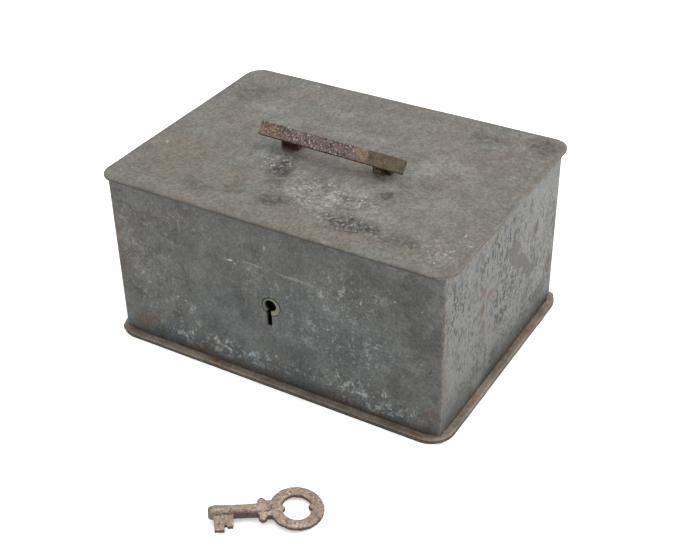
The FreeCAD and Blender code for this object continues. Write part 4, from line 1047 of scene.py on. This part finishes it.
def make_rivets():
    xs = [hinge + place for hinge in (-HINGE_X, HINGE_X) for place in (-10, 10)]
    low, high = corners("hinge_body_rivets")
    height = (low[2] + high[2]) / 2
    on_wall = heads([(x, BODY_Y + 1.2, height) for x in xs], "+y", HEAD, 1.5)
    on_wall += heads([(x, BODY_Y - 1.0, height) for x in xs], "-y", HEAD, 0.5)
    low, high = corners("hinge_lid_rivets")
    in_lid = heads([(x, (low[1] + high[1]) / 2, 93.8) for x in xs], "-z", HEAD, 1.4)
    in_lock = heads([(x, 2.5 - BODY_Y, z) for x in (-27, 31) for z in (27, 74)], "+y", HEAD, 1.6)
    in_hasp = heads([(x, 15.8 - BODY_Y, 94.6) for x in (-28, -34.5)], "-z", HEAD, 1.4)
    on_lugs = []
    for x in (-29.9, -24.1, 24.1, 29.9):
        on_lugs += heads([(x, 7.3, 98.2)], "+z", LUG_HEAD, 1.0)
        on_lugs += heads([(x, 7.3, 96.0)], "-z", LUG_HEAD, 0.3)
    add_piece("wall_rivets", merge(on_wall), "box", "hinge_steel", ["hinge_body_rivets"])
    add_piece("hinge_lid_rivet_heads", merge(in_lid), "lid", "lid_steel", ["hinge_lid_rivets"])
    add_piece("lock_rivet_heads", merge(in_lock), "box", "box_steel", ["lock_rivets"])
    add_piece("hasp_rivet_heads", merge(in_hasp), "lid", "lid_steel", ["hasp_rivets"])
    add_piece("lug_rivet_heads", merge(on_lugs), "lid", "fitting_steel", ["handle_lug_rivets"])


# ------------------------------------------------------------ bush and key

def make_bush():
    """The slotted ring in the keyhole, its bore worn off centre."""
    section = [(0.0, 1.1), (0.0, 0.0), (0.1, -0.32), (0.35, -0.4), (0.8, -0.36), (0.97, -0.1), (1.0, 1.1)]
    angles = slotted_arc(4.4, 56)
    points = []
    count = len(section)
    for angle in angles:
        bore = 3.1 - 0.25 * math.cos(angle) + 0.75 * math.sin(angle)
        for share, y in section:
            radius = bore + (5.08 - bore) * share
            points.append((KEY_X + radius * math.cos(angle), y - BODY_Y, KEY_Z + radius * math.sin(angle)))
    faces = bands(len(angles), count)
    faces.append(tuple(range(count)))
    faces.append(tuple(range(len(points) - 1, len(points) - 1 - count, -1)))
    add_piece("bush", (np.array(points), faces), "box", "bush_brass", ["keyhole_bush"])


KEY_TIP = (28.3, -166.6)
KEY_TURN = 37.5
KEY_LENGTH = 52.9
BOW_CENTRE = 39.9


def ellipse_ring(along, across, band_width, thick, segments=72, around=16):
    """A ring with a rounded flat section, about the bow's centre."""
    points = []
    for k in range(segments):
        angle = 2 * math.pi * k / segments
        for i in range(around):
            turn = 2 * math.pi * i / around
            out = band_width / 2 * np.sign(math.cos(turn)) * abs(math.cos(turn)) ** 0.75
            up = thick / 2 * np.sign(math.sin(turn)) * abs(math.sin(turn)) ** 0.75
            x = BOW_CENTRE + (along + out) * math.cos(angle)
            points.append((x, (across + out) * math.sin(angle), up))
    return np.array(points), bands(segments, around, closed=True)


def block(low, high):
    low, high = np.array(low, float), np.array(high, float)
    points = [(x, y, z) for x in (low[0], high[0]) for y in (low[1], high[1]) for z in (low[2], high[2])]
    faces = [(0, 1, 3, 2), (4, 6, 7, 5), (0, 4, 5, 1), (2, 3, 7, 6), (0, 2, 6, 4), (1, 5, 7, 3)]
    return np.array(points), faces


def make_key():
    barrel = [(0, 0.0), (1.9, 0.0), (2.6, 0.35), (3.1, 1.2), (3.35, 2.6), (3.35, 4), (3.2, 14), (3.25, 20),
              (3.4, 23), (3.4, 26.8), (2.5, 28.2), (0, 28.8)]
    shank, faces = lathe(barrel, 40)
    pieces = [(turned(shank, TO_AXIS["+x"]), faces)]
    pieces.append(ellipse_ring(9.6, 10.5, 5.9, 3.05))
    pieces.append(block((22.2, -3.7, -1.5), (30.0, 3.7, 1.5)))
    pieces.append(block((25.4, -4.9, -1.45), (32.5, 4.9, 1.45)))
    for side in (-1, 1):
        ball, ball_faces = lathe(
            [(0, -1.5), (1.2, -1.35), (1.75, -0.7), (1.9, 0), (1.75, 0.7), (1.2, 1.35), (0, 1.5)], 24)
        pieces.append((ball + np.array([24.2, side * 5.6, 0]), ball_faces))
        pieces.append(block((22.7, min(side * 6, 0), -1.45), (26.1, max(side * 6, 0), 1.45)))
        nub, nub_faces = lathe(
            [(0, -1.55), (1.2, -1.4), (1.7, -0.7), (1.75, 0), (1.7, 0.7), (1.2, 1.4), (0, 1.55)], 24)
        pieces.append((nub + np.array([BOW_CENTRE + side * 6.9, 0, 0]), nub_faces))
    pieces.append(block((2.4, -8.7, -0.95), (11.2, -1, 0.95)))
    pieces.append(block((2.5, -11.9, -0.9), (7.0, -8, 0.9)))
    pieces.append(block((8.2, -9.8, -0.9), (11.1, -8, 0.9)))
    points, faces = merge(pieces)
    key = add_piece("loose_key", (points, faces), "key", "key_steel", ["key"], 50)
    melt = key.modifiers.new("melt", "REMESH")
    melt.mode = "VOXEL"
    melt.voxel_size = 0.28 * MM
    melt.adaptivity = 0
    soften = key.modifiers.new("soften", "SMOOTH")
    soften.factor = 0.5
    soften.iterations = 3
    bake(key)
    bore, bore_faces = lathe([(0, -2), (1.75, -2), (1.65, 0.6), (1.6, 13), (0, 14)], 32)
    cut_away(key, turned(bore, TO_AXIS["+x"]), bore_faces)
    coordinates = np.empty(len(key.data.vertices) * 3)
    key.data.vertices.foreach_get("co", coordinates)
    points = coordinates.reshape(-1, 3) / MM
    normals = np.empty(len(key.data.vertices) * 3)
    key.data.vertices.foreach_get("normal", normals)
    cast = 0.10 * wobble(points, 2.4, 41) + 0.06 * wobble(points, 0.9, 42) - 0.05
    points = points + normals.reshape(-1, 3) * cast[:, None]
    span = KEY_LENGTH - 24.4 - 2.6
    drop = math.asin((3.4 - 1.55) / span)
    turn = Matrix.Rotation(math.radians(KEY_TURN), 3, "Z") @ Matrix.Rotation(drop, 3, "Y")
    placed = turned(points, turn)
    placed += np.array([*KEY_TIP, 0.02 - placed[:, 2].min()])
    key.data.vertices.foreach_set("co", (placed * MM).ravel())
    key.data.update()
    shade(key, 60)
    coat(key, FINISHES["key_steel"])


make_shell()
make_base()
make_lid()
make_grip()
make_arm(-1)
make_arm(1)
make_rivets()
make_bush()
make_key()

# The CAD nodes that stay get their finish and a fine bevel.
slots = {entry["node"]: entry["material_slot"] for entry in frame["record"]["subparts"]}
for node, made in frame["nodes"].items():
    if made.hide_render:
        continue
    coat(made, FINISHES[slots[node]])
    bevel = made.modifiers.new("edge", "BEVEL")
    bevel.width = 0.15 * MM
    bevel.segments = 2
    bevel.limit_method = "ANGLE"
    bevel.angle_limit = math.radians(40)


# ------------------------------------------------- floor, light and camera

def make_floor():
    mesh = bpy.data.meshes.new("floor")
    mesh.from_pydata([(-4, -4, 0), (4, -4, 0), (4, 4, 0), (-4, 4, 0)], [], [(0, 1, 2, 3)])
    floor = bpy.data.objects.new("floor", mesh)
    bpy.context.scene.collection.objects.link(floor)
    m = Finish("floor")
    cloth = m.noise(0.03, 3, 0.5, seed=91)
    colour = m.mix(m.span(cloth, 0.3, 0.7), (0.86, 0.86, 0.86), (0.88, 0.88, 0.88))
    mesh.materials.append(m.surface(colour, 0.9, 0.0, cloth, 0.0001, glow=0.35))


def add_area(name, place, target, size, power):
    light = bpy.data.lights.new(name, "AREA")
    light.shape = "RECTANGLE"
    light.size, light.size_y = size
    light.energy = power
    made = bpy.data.objects.new(name, light)
    bpy.context.scene.collection.objects.link(made)
    made.location = place
    made.rotation_euler = (Vector(target) - Vector(place)).to_track_quat("-Z", "Y").to_euler()


def make_light():
    world = bpy.data.worlds.new("studio")
    bpy.context.scene.world = world
    world.use_nodes = True
    sky = world.node_tree.nodes["Background"]
    sky.inputs["Color"].default_value = (1, 1, 1, 1)
    sky.inputs["Strength"].default_value = 1.05
    add_area("window", (1.6, 0.9, 1.5), (0, 0, 0.05), (1.6, 1.6), 38)
    add_area("ceiling", (-0.2, 0.2, 2.2), (0, 0, 0), (2.0, 2.0), 24)


# where the camera stands, in metres, and how it is turned, in degrees
CAMERA = (0.28387, -0.47389, 0.39955)
AZIMUTH, ELEVATION, ROLL = 30.9870, 33.9382, -1.2349


def make_camera():
    camera = bpy.data.cameras.new("camera")
    made = bpy.data.objects.new("camera", camera)
    bpy.context.scene.collection.objects.link(made)
    across = Matrix.Rotation(math.radians(AZIMUTH), 4, "Z")
    tilt = Matrix.Rotation(math.radians(90 - ELEVATION), 4, "X")
    roll = Matrix.Rotation(math.radians(ROLL), 4, "Z")
    made.matrix_world = Matrix.Translation(CAMERA) @ across @ tilt @ roll
    camera.lens = 65.124
    camera.sensor_width = 36.0
    camera.shift_x = 0.0011
    camera.shift_y = 0.0010
    bpy.context.scene.camera = made


make_floor()
make_light()
make_camera()
bpy.context.scene.view_settings.view_transform = "Standard"
